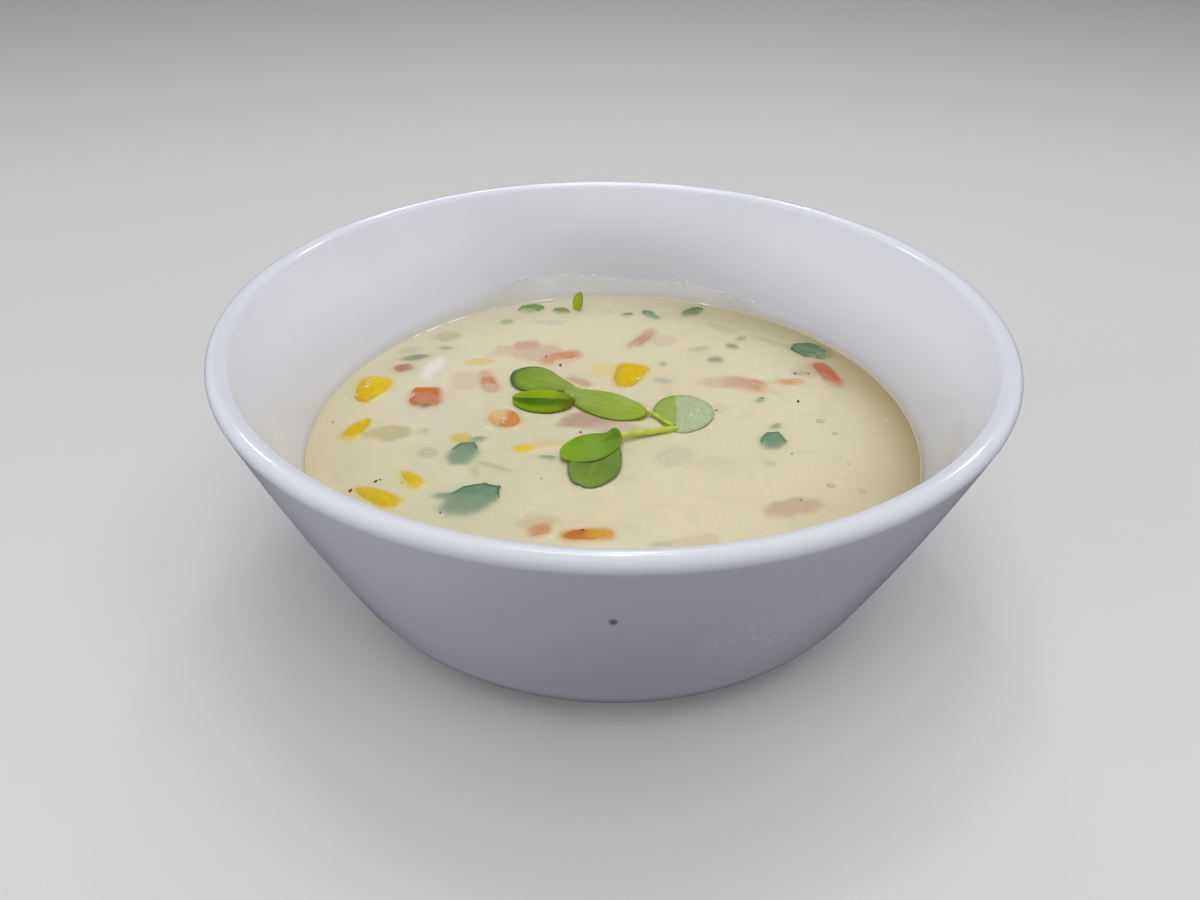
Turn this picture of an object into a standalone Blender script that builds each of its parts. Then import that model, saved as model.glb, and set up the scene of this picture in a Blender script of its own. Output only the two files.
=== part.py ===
"""Corn chowder in a round white bowl, at its real size.

The bowl is turned: a rounded lip, a leaning wall, a round shoulder and a foot ring. The soup is one
solid up to its level, with chopped herbs fused to its surface. Kernels, pepper and ham sit in pockets
of the soup, and a leafy sprig lies on it. X runs right, Y away, Z up. The origin is under the
centre of the bowl, on the surface it stands on.
"""

import math

import bmesh
import bpy
from mathutils import Matrix, Vector, noise

MM = 0.001

# Bowl
RIM_RADIUS = 77.5 * MM
LIP_THICKNESS = 4.02 * MM
BODY_DEPTH = 57.39 * MM
FOOT_HEIGHT = 2.0 * MM
WALL_LEAN = math.radians(20.95)
WALL_BULGE = 0.55 * MM
SHOULDER_RADIUS = 20.5 * MM
INNER_LEAN = math.radians(19.26)
INNER_BULGE = 0.4 * MM
INNER_SHOULDER_RADIUS = 17.2 * MM
FLOOR_THICKNESS = 3.6 * MM
FOOT_OUTER_RADIUS = 38.0 * MM
FOOT_RING_WIDTH = 3.2 * MM
FOOT_CHAMFER = 0.35 * MM
FOOT_RECESS = 1.7 * MM
TURN_STEPS = 60
# How many steps make up the wall and the shoulder
INNER_STEPS = (5, 4)
OUTER_STEPS = (4, 5)
RIM_HEIGHT = BODY_DEPTH + FOOT_HEIGHT

# Soup
SOUP_BELOW_RIM = 28.75 * MM
SOUP_LEVEL = RIM_HEIGHT - SOUP_BELOW_RIM
FIT_GAP = 0.3 * MM
POCKET_GAP = 0.36 * MM
MENISCUS_RISE = 0.9 * MM
MENISCUS_LENGTH = 1.3 * MM
# Rings of the surface near its edge, counted in meniscus lengths back from it
EDGE_RINGS = (2.5, 1.2, 0.5)
RING_SPACING = 5.0 * MM
RIPPLE = 0.12 * MM
RIPPLE_LENGTH = 14.0 * MM
# The bowl stands a little off level, so the soup is higher against its right side
SOUP_SLOPE = math.tan(math.radians(0.8))

# Pieces
LUMP_SEGMENTS = 12
LUMP_RINGS = 7
BLADE_THICKNESS = 0.5
BLADE_BLUNTNESS = 0.55
BLADE_STEPS = (9, 4)
MERGE = 0.02 * MM
LUMP_UNEVENNESS = 0.10
LUMP_NOISE = 1.3
# How square the cross-sections are, how much they narrow to one end, and how deep the dent is
KERNEL_FORM = (0.88, 0.42, 0.16)
CHUNK_FORM = (0.66, 0.08, 0.0)

# Kernels of corn: place, length, width, thickness, turn and lean in degrees, lift of the centre
KERNELS = {
    "corn_left_back": dict(at=(-55.2, 15.6), size=(12.6, 10.6, 5.0), turn=78, lean=5, lift=-0.9),
    "corn_left": dict(at=(-54.9, -2.7), size=(10.4, 5.8, 4.6), turn=248, lean=9, lift=-1.0),
    "corn_front_small": dict(at=(-39.4, -20.4), size=(8.2, 4.9, 4.4), turn=310, lean=7, lift=-1.1),
    "corn_front": dict(at=(-44.9, -26.2), size=(12.6, 6.2, 4.8), turn=329, lean=3, lift=-1.0),
    "corn_back": dict(at=(4.2, 22.6), size=(12.6, 9.6, 5.0), turn=74, lean=4, lift=-1.1),
}

# Pepper, tomato and ham: place, length, width, thickness, turn and lean in degrees, lift of the centre
CHUNKS = {
    "pepper_left": dict(at=(-42.3, 11.8), size=(7.6, 9.0, 6.2), turn=4, lean=6, lift=-2.0, square=0.5),
    "pepper_left_back": dict(at=(-49.9, 25.0), size=(5.0, 4.2, 4.0), turn=20, lean=6, lift=-1.3),
    "ham_left": dict(at=(-28.7, 19.2), size=(12.0, 4.2, 4.0), turn=-72, lean=-4, lift=-1.4, bend=0.08),
    "ham_peach": dict(at=(-23.2, 2.3), size=(8.4, 7.2, 5.4), turn=-48, lean=4, lift=-1.0, square=0.95),
    "pepper_back": dict(at=(-12.4, 31.0), size=(11.0, 5.2, 4.0), turn=24, lean=-3, lift=-1.5),
    "pepper_far": dict(at=(7.6, 41.0), size=(13.0, 3.8, 3.8), turn=58, lean=0, lift=-1.3, bend=0.1),
    "ham_right": dict(at=(31.0, 18.5), size=(11.5, 7.0, 4.2), turn=-22, lean=-3, lift=-1.5),
    "pepper_right": dict(at=(41.2, 19.6), size=(7.6, 3.2, 3.2), turn=8, lean=0, lift=-1.1),
    "pepper_far_right": dict(at=(51.0, 23.2), size=(12.5, 4.6, 4.4), turn=-72, lean=3, lift=-1.3),
    "pepper_front_left": dict(at=(-12.8, -35.8), size=(5.2, 4.0, 3.6), turn=30, lean=0, lift=-1.2),
    "pepper_front": dict(at=(-3.8, -37.1), size=(10.6, 3.8, 3.6), turn=4, lean=0, lift=-1.1),
}

# Wholly sunk pieces that lift the surface a little: place, length, width, turn in degrees, rise
SUNK = (
    dict(at=(-46.8, -3.2), size=(12.5, 5.6), turn=4, rise=0.4),
    dict(at=(-41.8, 41.2), size=(8.5, 5.0), turn=26, rise=0.4),
    dict(at=(12.7, -11.6), size=(11.0, 8.0), turn=15, rise=0.5),
    dict(at=(34.5, -28.7), size=(13.0, 6.5), turn=20, rise=0.5),
    dict(at=(28.0, 46.7), size=(9.0, 3.5), turn=-35, rise=0.4),
    dict(at=(-15.0, -7.6), size=(13.0, 3.4), turn=16, rise=0.35),
    dict(at=(-16.5, 49.1), size=(7.0, 3.5), turn=0, rise=0.35),
    dict(at=(23.4, 6.9), size=(6.0, 4.0), turn=40, rise=0.3),
)
SUNK_SPREAD = 0.6

# Chopped herbs on the surface: place, length, width, turn and tilt in degrees, how many corners
HERBS = (
    dict(at=(-27.0, -26.6), size=(12.0, 7.6), turn=38, points=14),
    dict(at=(-30.6, -10.8), size=(8.6, 5.2), turn=76, points=10),
    dict(at=(-28.3, -5.4), size=(3.0, 1.8), turn=20),
    dict(at=(-32.6, -25.3), size=(3.2, 1.6), turn=5),
    dict(at=(34.3, -5.3), size=(6.6, 4.6), turn=70, points=10),
    dict(at=(35.7, 0.5), size=(2.6, 1.5), turn=40),
    dict(at=(49.0, 34.8), size=(9.8, 5.6), turn=-28, points=10),
    dict(at=(21.0, 56.3), size=(6.2, 2.8), turn=35),
    dict(at=(10.0, 54.4), size=(6.0, 2.2), turn=-50),
    dict(at=(-22.0, 57.6), size=(6.6, 3.2), turn=10),
    dict(at=(-9.5, 57.6), size=(8.4, 2.8), turn=84, tilt=-58),
    dict(at=(25.0, 30.2), size=(4.0, 1.7), turn=10),
    dict(at=(29.7, 37.1), size=(3.4, 1.6), turn=-20),
    dict(at=(32.2, 41.3), size=(3.0, 1.5), turn=30),
    dict(at=(-27.7, 49.9), size=(3.6, 1.7), turn=12),
    dict(at=(-41.3, 35.2), size=(3.2, 1.6), turn=-10),
    dict(at=(-48.3, 30.2), size=(6.2, 2.2), turn=18),
    dict(at=(12.3, 28.1), size=(2.2, 1.4), turn=60),
    dict(at=(-13.0, -12.0), size=(3.6, 1.4), turn=-8),
    dict(at=(33.4, 11.3), size=(3.4, 1.3), turn=50),
)
HERB_DEPTH = 1.0 * MM
HERB_PROUD = 0.28 * MM
HERB_CORNERS = 7
HERB_REACH = 0.86
HERB_POINTED = 0.14
HERB_RAGGED = 0.12

# The sprig's blades: base, middle and tip as x, y and height above the soup, width across, how far
# each half folds up in degrees, where along the blade it is widest, and how blunt its ends are
BLADES = (
    dict(
        path=((-9.4, 11.8, 2.6), (-16.4, 15.0, 3.3), (-23.3, 20.1, 2.4)),
        width=8.6, far=13, near=-15, widest=0.54,
    ),
    dict(
        path=((-8.6, 6.9, 1.3), (-15.7, 4.8, 0.8), (-21.8, 8.8, 1.3)),
        width=10.4, far=55, near=70,
    ),
    dict(
        path=((-9.1, 10.8, 2.6), (-0.5, 5.9, 2.9), (7.7, 2.7, 2.1)),
        width=6.9, far=32, near=-32, thick=0.8,
    ),
    dict(
        path=((9.5, 4.8, 0.8), (15.8, 5.5, 0.7), (22.3, 4.9, 0.7)),
        width=13.2, far=0, near=0, widest=0.5,
    ),
    dict(
        path=((1.8, -8.2, 3.0), (-4.2, -12.4, 3.4), (-10.3, -13.8, 2.4)),
        width=7.8, far=14, near=-14,
    ),
    dict(
        path=((1.4, -10.7, 2.4), (-2.4, -16.0, 1.4), (-5.8, -22.4, 0.8)),
        width=10.8, far=5, near=4,
    ),
)
BLADE_WIDEST = 0.58
STEM_RADIUS = 0.75 * MM
STEMS = (
    ((-9.3, 12.0, 2.6), (-8.9, 9.4, 1.9), (-8.8, 7.0, 1.5)),
    ((7.4, 3.1, 2.2), (9.6, 2.7, 1.7), (11.7, 1.5, 1.3), (13.2, -0.9, 1.2)),
    ((13.4, 0.1, 1.2), (12.4, -1.5, 1.2), (7.0, -4.2, 1.5), (1.9, -7.2, 2.3), (1.3, -10.9, 2.3)),
)

COLOURS = {
    "bowl": ((0.70, 0.70, 0.72), 0.28),
    "soup": ((0.70, 0.62, 0.42), 0.25),
    "corn": ((0.80, 0.52, 0.02), 0.30),
    "pepper": ((0.72, 0.14, 0.03), 0.30),
    "ham": ((0.70, 0.34, 0.24), 0.35),
    "sprig": ((0.22, 0.42, 0.04), 0.40),
}


def clear_scene():
    for thing in list(bpy.data.objects):
        bpy.data.objects.remove(thing, do_unlink=True)


def new_collection(name):
    collection = bpy.data.collections.new(name)
    bpy.context.scene.collection.children.link(collection)
    return collection


def place_mesh(name, shape, collection):
    """A named object from a bmesh, which is freed."""
    mesh = bpy.data.meshes.new(name)
    shape.to_mesh(mesh)
    shape.free()
    thing = bpy.data.objects.new(name, mesh)
    collection.objects.link(thing)
    return thing


def give_finish(thing, kind):
    colour, roughness = COLOURS[kind]
    material = bpy.data.materials.new(thing.name)
    material.use_nodes = True
    shader = material.node_tree.nodes["Principled BSDF"]
    shader.inputs["Base Color"].default_value = (*colour, 1.0)
    shader.inputs["Roughness"].default_value = roughness
    shader.inputs["Metallic"].default_value = 0.0
    thing.data.materials.append(material)
    thing.data.shade_smooth()


def evaluated_copy(thing, collection):
    """The object as its modifiers leave it, as a plain mesh object under the same name."""
    graph = bpy.context.evaluated_depsgraph_get()
    mesh = bpy.data.meshes.new_from_object(thing.evaluated_get(graph))
    name, place = thing.name, thing.matrix_world.copy()
    bpy.data.objects.remove(thing, do_unlink=True)
    copy = bpy.data.objects.new(name, mesh)
    copy.matrix_world = place
    collection.objects.link(copy)
    return copy


def arc(centre, radius, start, end, steps):
    angles = [start + (end - start) * i / steps for i in range(steps + 1)]
    return [(centre[0] + radius * math.cos(a), centre[1] + radius * math.sin(a)) for a in angles]


def wall_and_shoulder(top, lean, bulge, radius, floor, offset, wall_steps, arc_steps):
    """Points from the wall's top down to where the shoulder meets a flat floor.

    The wall leans in towards the axis on its way down and bows out by bulge. offset moves it all
    towards the inside of the bowl.
    """
    out = Vector((math.cos(lean), -math.sin(lean)))
    down = Vector((-math.sin(lean), -math.cos(lean)))
    start = Vector(top) - offset * out
    radius, floor = radius - offset, floor + offset
    length = (start.y + radius * math.sin(lean) - floor - radius) / math.cos(lean)
    centre = start + down * length - out * radius
    shares = [i / wall_steps for i in range(wall_steps)]
    wall = [start + down * length * s + out * 4.0 * bulge * s * (1.0 - s) for s in shares]
    return [tuple(p) for p in wall] + arc(centre, radius, -lean, -math.pi / 2, arc_steps)


def lip_centre():
    return RIM_RADIUS - LIP_THICKNESS / 2, RIM_HEIGHT - LIP_THICKNESS / 2


def inner_side(offset):
    """The bowl's inner wall and shoulder, top to floor, moved offset towards the axis."""
    centre, radius = lip_centre(), LIP_THICKNESS / 2
    top = (centre[0] - radius * math.cos(INNER_LEAN), centre[1] + radius * math.sin(INNER_LEAN))
    floor = FOOT_HEIGHT + FLOOR_THICKNESS
    return wall_and_shoulder(top, INNER_LEAN, INNER_BULGE, INNER_SHOULDER_RADIUS, floor, offset, *INNER_STEPS)


def outer_side():
    centre, radius = lip_centre(), LIP_THICKNESS / 2
    top = (centre[0] + radius * math.cos(WALL_LEAN), centre[1] - radius * math.sin(WALL_LEAN))
    lean, bulge = WALL_LEAN, WALL_BULGE
    return wall_and_shoulder(top, lean, bulge, SHOULDER_RADIUS, FOOT_HEIGHT, 0.0, *OUTER_STEPS)


def turned(name, profile, collection):
    """A profile of radius and height points, turned round Z."""
    shape = bmesh.new()
    corners = [shape.verts.new((r, 0.0, z)) for r, z in profile]
    for a, b in zip(corners, corners[1:]):
        shape.edges.new((a, b))
    thing = place_mesh(name, shape, collection)
    screw = thing.modifiers.new("turn", "SCREW")
    screw.steps = screw.render_steps = TURN_STEPS
    screw.use_merge_vertices = True
    screw.merge_threshold = MERGE / 2
    return thing


def make_bowl(collection):
    inner = list(reversed(inner_side(0.0)))
    lip = arc(lip_centre(), LIP_THICKNESS / 2, math.pi - INNER_LEAN, math.pi / 2, 3)
    lip += arc(lip_centre(), LIP_THICKNESS / 2, math.pi / 2, -WALL_LEAN, 4)[1:]
    ring_inside = FOOT_OUTER_RADIUS - FOOT_RING_WIDTH
    foot = [
        (FOOT_OUTER_RADIUS + FOOT_CHAMFER, FOOT_HEIGHT),
        (FOOT_OUTER_RADIUS, FOOT_CHAMFER),
        (FOOT_OUTER_RADIUS - FOOT_CHAMFER, 0.0),
        (ring_inside + FOOT_CHAMFER, 0.0),
        (ring_inside, FOOT_CHAMFER),
        (ring_inside - FOOT_CHAMFER, FOOT_RECESS),
        (0.0, FOOT_RECESS),
    ]
    centre_of_floor = (0.0, FOOT_HEIGHT + FLOOR_THICKNESS)
    profile = [centre_of_floor] + inner[:-1] + lip + outer_side()[1:] + foot
    bowl = turned("bowl", profile, collection)
    give_finish(bowl, "bowl")


def swell(x, y):
    """How far the slope, sunk pieces and slow ripples lift the soup's surface at x, y."""
    lift = SOUP_SLOPE * x + RIPPLE * noise.noise(Vector((x, y, 0.0)) / RIPPLE_LENGTH)
    for piece in SUNK:
        turn = math.radians(piece["turn"])
        dx, dy = x - piece["at"][0] * MM, y - piece["at"][1] * MM
        along = (dx * math.cos(turn) + dy * math.sin(turn)) / (piece["size"][0] * MM * SUNK_SPREAD)
        across = (dy * math.cos(turn) - dx * math.sin(turn)) / (piece["size"][1] * MM * SUNK_SPREAD)
        lift += piece["rise"] * MM * math.exp(-(along**2 + across**2))
    return lift


def soup_profile():
    """Centre of the surface, out to the risen edge, down the side and back to the axis."""
    side = inner_side(FIT_GAP)
    edge_height = SOUP_LEVEL + MENISCUS_RISE
    below = [p for p in side if p[1] < edge_height]
    above = [p for p in side if p[1] >= edge_height][-1]
    share = (above[1] - edge_height) / (above[1] - below[0][1])
    edge = (above[0] + (below[0][0] - above[0]) * share, edge_height)
    rings = [RING_SPACING * i for i in range(int(edge[0] / RING_SPACING))]
    rings += [edge[0] - back * MENISCUS_LENGTH for back in EDGE_RINGS]
    top = [(r, SOUP_LEVEL + MENISCUS_RISE * math.exp((r - edge[0]) / MENISCUS_LENGTH)) for r in rings]
    return top + [edge] + below + [(0.0, below[-1][1])]


def herb(index, piece, collection):
    """A chopped leaf: a flat pointed plate that stands just proud of the soup."""
    points = piece.get("points", HERB_CORNERS)
    length, width = (side * MM for side in piece["size"])
    shape = bmesh.new()
    bmesh.ops.create_cone(shape, cap_ends=True, segments=points, radius1=1.0, radius2=1.0, depth=1.0)
    for corner in shape.verts:
        angle = math.atan2(corner.co.y, corner.co.x)
        reach = HERB_REACH + HERB_POINTED * math.cos(2 * angle)
        reach += HERB_RAGGED * noise.noise((3 * angle, index * 1.7, 0.0))
        corner.co.x *= reach * length / 2
        corner.co.y *= reach * width / 2
        corner.co.z *= HERB_DEPTH
    x, y = piece["at"][0] * MM, piece["at"][1] * MM
    height = SOUP_LEVEL + swell(x, y) + HERB_PROUD - HERB_DEPTH / 2
    turn = Matrix.Rotation(math.radians(piece["turn"]), 4, "Z")
    tilt = Matrix.Rotation(math.radians(piece.get("tilt", 0)), 4, "Y")
    shape.transform(Matrix.Translation((x, y, height)) @ turn @ tilt)
    bmesh.ops.triangulate(shape, faces=shape.faces[:])
    return place_mesh(f"herb_{index}", shape, collection)


def lump(name, piece, squareness, taper, dent, grow, collection):
    """A rounded piece in the soup, longest along its own X; grow swells it for its pocket."""
    shape = bmesh.new()
    bmesh.ops.create_uvsphere(shape, u_segments=LUMP_SEGMENTS, v_segments=LUMP_RINGS, radius=1.0)
    seed = Vector((piece["at"][0], piece["at"][1], 0.0))
    length, width, thickness = (side * MM / 2 for side in piece["size"])
    for corner in shape.verts:
        x, y, z = (math.copysign(abs(c) ** squareness, c) for c in corner.co)
        narrowing = 1.0 - taper * (1.0 - x) / 2
        uneven = 1.0 + LUMP_UNEVENNESS * noise.noise(corner.co * LUMP_NOISE + seed)
        x -= dent * max(0.0, x) * (1.0 - y * y) * (1.0 - z * z)
        y = y * narrowing + piece.get("bend", 0.0) * length / width * (x * x - 0.5)
        corner.co = Vector((x * length, y * width, z * thickness * narrowing**0.5)) * uneven
    if grow:
        shape.normal_update()
        moved = [corner.co + corner.normal * grow for corner in shape.verts]
        for corner, place in zip(shape.verts, moved):
            corner.co = place
    x, y = piece["at"][0] * MM, piece["at"][1] * MM
    turn = Matrix.Rotation(math.radians(piece["turn"]), 4, "Z")
    lean = Matrix.Rotation(math.radians(piece["lean"]), 4, "Y")
    height = SOUP_LEVEL + swell(x, y) + piece["lift"] * MM
    thing = place_mesh(name, shape, collection)
    thing.matrix_world = Matrix.Translation((x, y, height)) @ turn @ lean
    return thing


def make_pieces(collection, cutters):
    """Kernels and chunks, each with a cutter a little larger for its pocket in the soup."""
    forms = [(name, piece, *KERNEL_FORM, "corn") for name, piece in KERNELS.items()]
    for name, piece in CHUNKS.items():
        kind = "ham" if name.startswith("ham") else "pepper"
        forms.append((name, piece, piece.get("square", CHUNK_FORM[0]), *CHUNK_FORM[1:], kind))
    for name, piece, squareness, taper, dent, kind in forms:
        thing = lump(name, piece, squareness, taper, dent, 0.0, collection)
        give_finish(thing, kind)
        pocket = lump(f"{name}_pocket", piece, squareness, taper, dent, POCKET_GAP, cutters)
        pocket.display_type = "WIRE"
        pocket.hide_render = True


def along_path(path, share):
    """A point on the smooth curve through a base, a middle and a tip."""
    base, middle, tip = path
    control = middle * 2 - (base + tip) / 2
    return base * (1 - share) ** 2 + control * 2 * share * (1 - share) + tip * share**2


def above_soup(point):
    """A point given in millimetres, its height counted from the soup's surface."""
    x, y, height = (value * MM for value in point)
    return Vector((x, y, SOUP_LEVEL + swell(x, y) + height))


def blade(name, leaf, collection):
    """A leaf blade: a grid bent along its path, each half folded about the midrib."""
    path = [above_soup(point) for point in leaf["path"]]
    power = math.log(0.5) / math.log(leaf.get("widest", BLADE_WIDEST))
    shape = bmesh.new()
    bmesh.ops.create_grid(shape, x_segments=BLADE_STEPS[0], y_segments=BLADE_STEPS[1], size=1.0)
    for corner in shape.verts:
        along, across = (corner.co.x + 1) / 2, corner.co.y
        ahead, behind = min(along + 0.02, 1.0), max(along - 0.02, 0.0)
        forward = (along_path(path, ahead) - along_path(path, behind)).normalized()
        side = Vector((0, 0, 1)).cross(forward).normalized()
        side = side if side.y > 0 else -side
        up = forward.cross(side)
        up = up if up.z > 0 else -up
        half = max(math.sin(math.pi * along**power), 0.0) ** BLADE_BLUNTNESS * leaf["width"] * MM / 2
        fold = math.radians(leaf["far"] if across > 0 else leaf["near"])
        reach = abs(across) * half
        corner.co = along_path(path, along) + side * math.copysign(reach * math.cos(fold), across)
        corner.co += up * reach * math.sin(fold)
    bmesh.ops.remove_doubles(shape, verts=shape.verts[:], dist=MERGE)
    bmesh.ops.triangulate(shape, faces=shape.faces[:])
    thing = place_mesh(name, shape, collection)
    shell = thing.modifiers.new("thickness", "SOLIDIFY")
    shell.thickness, shell.offset = leaf.get("thick", BLADE_THICKNESS) * MM, 0.0
    return evaluated_copy(thing, collection)


def stem(name, points, collection):
    line = bpy.data.curves.new(name, "CURVE")
    line.dimensions = "3D"
    line.bevel_depth, line.bevel_resolution = STEM_RADIUS, 2
    line.use_fill_caps = True
    spline = line.splines.new("POLY")
    spline.points.add(len(points) - 1)
    for corner, point in zip(spline.points, points):
        corner.co = (*above_soup(point), 1.0)
    thing = bpy.data.objects.new(name, line)
    collection.objects.link(thing)
    thing = evaluated_copy(thing, collection)
    shape = bmesh.new()
    shape.from_mesh(thing.data)
    bmesh.ops.remove_doubles(shape, verts=shape.verts[:], dist=MERGE / 2)
    shape.to_mesh(thing.data)
    shape.free()


def make_sprig(collection):
    """The garnish: its blades and stems joined into one solid."""
    parts = new_collection("sprig_parts")
    first = blade("sprig", BLADES[0], collection)
    for index, leaf in enumerate(BLADES[1:], 1):
        blade(f"blade_{index}", leaf, parts)
    for index, points in enumerate(STEMS):
        stem(f"stem_{index}", points, parts)
    join = first.modifiers.new("join", "BOOLEAN")
    join.operation, join.operand_type, join.collection = "UNION", "COLLECTION", parts
    sprig = evaluated_copy(first, collection)
    for part in list(parts.objects):
        bpy.data.objects.remove(part, do_unlink=True)
    bpy.data.collections.remove(parts)
    give_finish(sprig, "sprig")


def make_soup(collection, cutters):
    """The soup's solid, with the herbs joined to it and a pocket cut for each piece."""
    soup = evaluated_copy(turned("soup", soup_profile(), collection), collection)
    flat_radius = max(corner.co.x for corner in soup.data.vertices) - EDGE_RINGS[0] * MENISCUS_LENGTH
    for corner in soup.data.vertices:
        x, y, z = corner.co
        if z < SOUP_LEVEL - FIT_GAP:
            continue
        if math.hypot(x, y) < flat_radius:
            corner.co.z += swell(x, y)
        else:
            rise = SOUP_SLOPE * x
            outward = Vector((x, y, 0.0)).normalized() * rise * math.tan(INNER_LEAN)
            corner.co += outward + Vector((0.0, 0.0, rise))
    herbs = new_collection("herbs")
    for index, piece in enumerate(HERBS):
        herb(index, piece, herbs)
    join = soup.modifiers.new("herbs", "BOOLEAN")
    join.operation, join.operand_type, join.collection = "UNION", "COLLECTION", herbs
    soup = evaluated_copy(soup, collection)
    for piece in list(herbs.objects):
        bpy.data.objects.remove(piece, do_unlink=True)
    bpy.data.collections.remove(herbs)
    for cutter in cutters.objects:
        pocket = soup.modifiers.new(cutter.name, "BOOLEAN")
        pocket.operation, pocket.object = "DIFFERENCE", cutter
    give_finish(soup, "soup")


def main():
    clear_scene()
    collection = new_collection("chowder_in_bowl")
    cutters = new_collection("cutters")
    make_bowl(collection)
    make_pieces(collection, cutters)
    make_soup(collection, cutters)
    make_sprig(collection)


main()
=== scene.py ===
import math
import random

import bpy
import numpy as np
from mathutils import Matrix, Vector, noise
from mathutils.bvhtree import BVHTree


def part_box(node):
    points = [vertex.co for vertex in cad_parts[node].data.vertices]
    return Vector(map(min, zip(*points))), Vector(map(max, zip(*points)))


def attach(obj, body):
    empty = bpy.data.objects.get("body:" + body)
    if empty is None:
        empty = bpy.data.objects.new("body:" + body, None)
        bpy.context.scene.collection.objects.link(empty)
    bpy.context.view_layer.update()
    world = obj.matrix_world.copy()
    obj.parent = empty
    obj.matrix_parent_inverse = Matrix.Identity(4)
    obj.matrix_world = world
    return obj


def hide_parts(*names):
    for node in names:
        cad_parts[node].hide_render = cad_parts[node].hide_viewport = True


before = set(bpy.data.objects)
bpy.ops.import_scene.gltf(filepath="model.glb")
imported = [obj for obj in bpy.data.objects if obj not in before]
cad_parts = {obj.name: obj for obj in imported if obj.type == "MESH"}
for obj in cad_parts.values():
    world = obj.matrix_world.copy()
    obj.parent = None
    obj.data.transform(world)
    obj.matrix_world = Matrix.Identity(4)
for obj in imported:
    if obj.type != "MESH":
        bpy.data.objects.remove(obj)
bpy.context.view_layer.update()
mm = 0.001
rootBody = "root"
print("frame loaded:", len(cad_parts), "nodes")


# Colours and small helpers

def tint(red, green, blue):
    # a tone seen on a screen, 0 to 255, turned into linear light
    shares = [value / 255.0 for value in (red, green, blue)]
    return np.array([s / 12.92 if s <= 0.04045 else ((s + 0.055) / 1.055) ** 2.4 for s in shares])


def mixTones(first, second, share):
    share = np.clip(np.asarray(share, float), 0.0, 1.0)[..., None]
    return first * (1.0 - share) + second * share


def smooth(low, high, value):
    share = np.clip((np.asarray(value, float) - low) / (high - low), 0.0, 1.0)
    return share * share * (3.0 - 2.0 * share)


def noiseAt(points, size, seed=0.0):
    # soft noise from -1 to 1 at each point, with features of the given size
    return np.array([noise.noise(Vector(p) / size + Vector((seed, seed, seed))) for p in points])


def noiseAround(angles, scale, seed):
    # noise that goes round with an angle and closes on itself
    return np.array([noise.noise((scale * math.cos(a), scale * math.sin(a), seed)) for a in angles])


def noiseOver(along, across, scaleAlong, scaleAcross, seed):
    # noise over the length and width of a leaf
    pairs = zip(along, across)
    return np.array([noise.noise((a * scaleAlong, c * scaleAcross, seed)) for a, c in pairs])


def discGrid(steps):
    # an even grid of points over the unit disc, and its faces
    line = np.linspace(-1.0, 1.0, steps + 1)
    across, along = np.meshgrid(line, line)
    a, b = across.ravel(), along.ravel()
    wide = np.abs(a) > np.abs(b)
    safeA = np.where(np.abs(a) < 1e-9, 1e-9, a)
    safeB = np.where(np.abs(b) < 1e-9, 1e-9, b)
    radius = np.where(wide, a, b)
    angle = np.where(wide, math.pi / 4 * b / safeA, math.pi / 2 - math.pi / 4 * a / safeB)
    points = np.column_stack((radius * np.cos(angle), radius * np.sin(angle)))
    row = steps + 1
    starts = [j * row + i for j in range(steps) for i in range(steps)]
    faces = [(s, s + 1, s + row + 1, s + row) for s in starts]
    return points, faces


def unitBall(segments, rings):
    corners = [(0.0, 0.0, -1.0)]
    for j in range(1, rings):
        lift = math.pi * (j / rings - 0.5)
        reach, height = math.cos(lift), math.sin(lift)
        turns = [2 * math.pi * i / segments for i in range(segments)]
        corners += [(reach * math.cos(t), reach * math.sin(t), height) for t in turns]
    corners.append((0.0, 0.0, 1.0))
    top = len(corners) - 1
    faces = [(0, 1 + (i + 1) % segments, 1 + i) for i in range(segments)]
    for j in range(rings - 2):
        low = 1 + j * segments
        for i in range(segments):
            after = (i + 1) % segments
            faces.append((low + i, low + after, low + segments + after, low + segments + i))
    last = 1 + (rings - 2) * segments
    faces += [(last + i, last + (i + 1) % segments, top) for i in range(segments)]
    return np.array(corners), faces


def emptyShape():
    return {"corners": [], "faces": [], "tones": []}


def addShape(shape, corners, faces, tones):
    start = len(shape["corners"])
    shape["corners"].extend(tuple(map(float, c)) for c in corners)
    shape["faces"].extend(tuple(start + i for i in face) for face in faces)
    tones = np.broadcast_to(np.asarray(tones, float), (len(corners), np.shape(tones)[-1]))
    shape["tones"].extend(tuple(t) if len(t) == 4 else (*t, 1.0) for t in tones)


def makePiece(name, shape, material, replaced=()):
    # a smooth mesh object with its tones as a colour attribute, riding on the bowl's body
    mesh = bpy.data.meshes.new(name)
    mesh.from_pydata(shape["corners"], [], shape["faces"])
    layer = mesh.attributes.new("tone", "FLOAT_COLOR", "POINT")
    layer.data.foreach_set("color", np.array(shape["tones"], np.float32).ravel())
    mesh.validate()
    mesh.shade_smooth()
    mesh.materials.append(material)
    piece = bpy.data.objects.new(name, mesh)
    bpy.context.scene.collection.objects.link(piece)
    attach(piece, rootBody)
    if replaced:
        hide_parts(*replaced)
    print("made", name, len(mesh.polygons), "faces")
    return piece


def thicken(piece, thickness):
    # gives a sheet its thickness and keeps the result as its mesh
    shell = piece.modifiers.new("thickness", "SOLIDIFY")
    shell.thickness = thickness
    shell.offset = 0.0
    graph = bpy.context.evaluated_depsgraph_get()
    mesh = bpy.data.meshes.new_from_object(piece.evaluated_get(graph))
    piece.modifiers.clear()
    piece.data = mesh


# Shader nodes, and the groups that several finishes share

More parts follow.
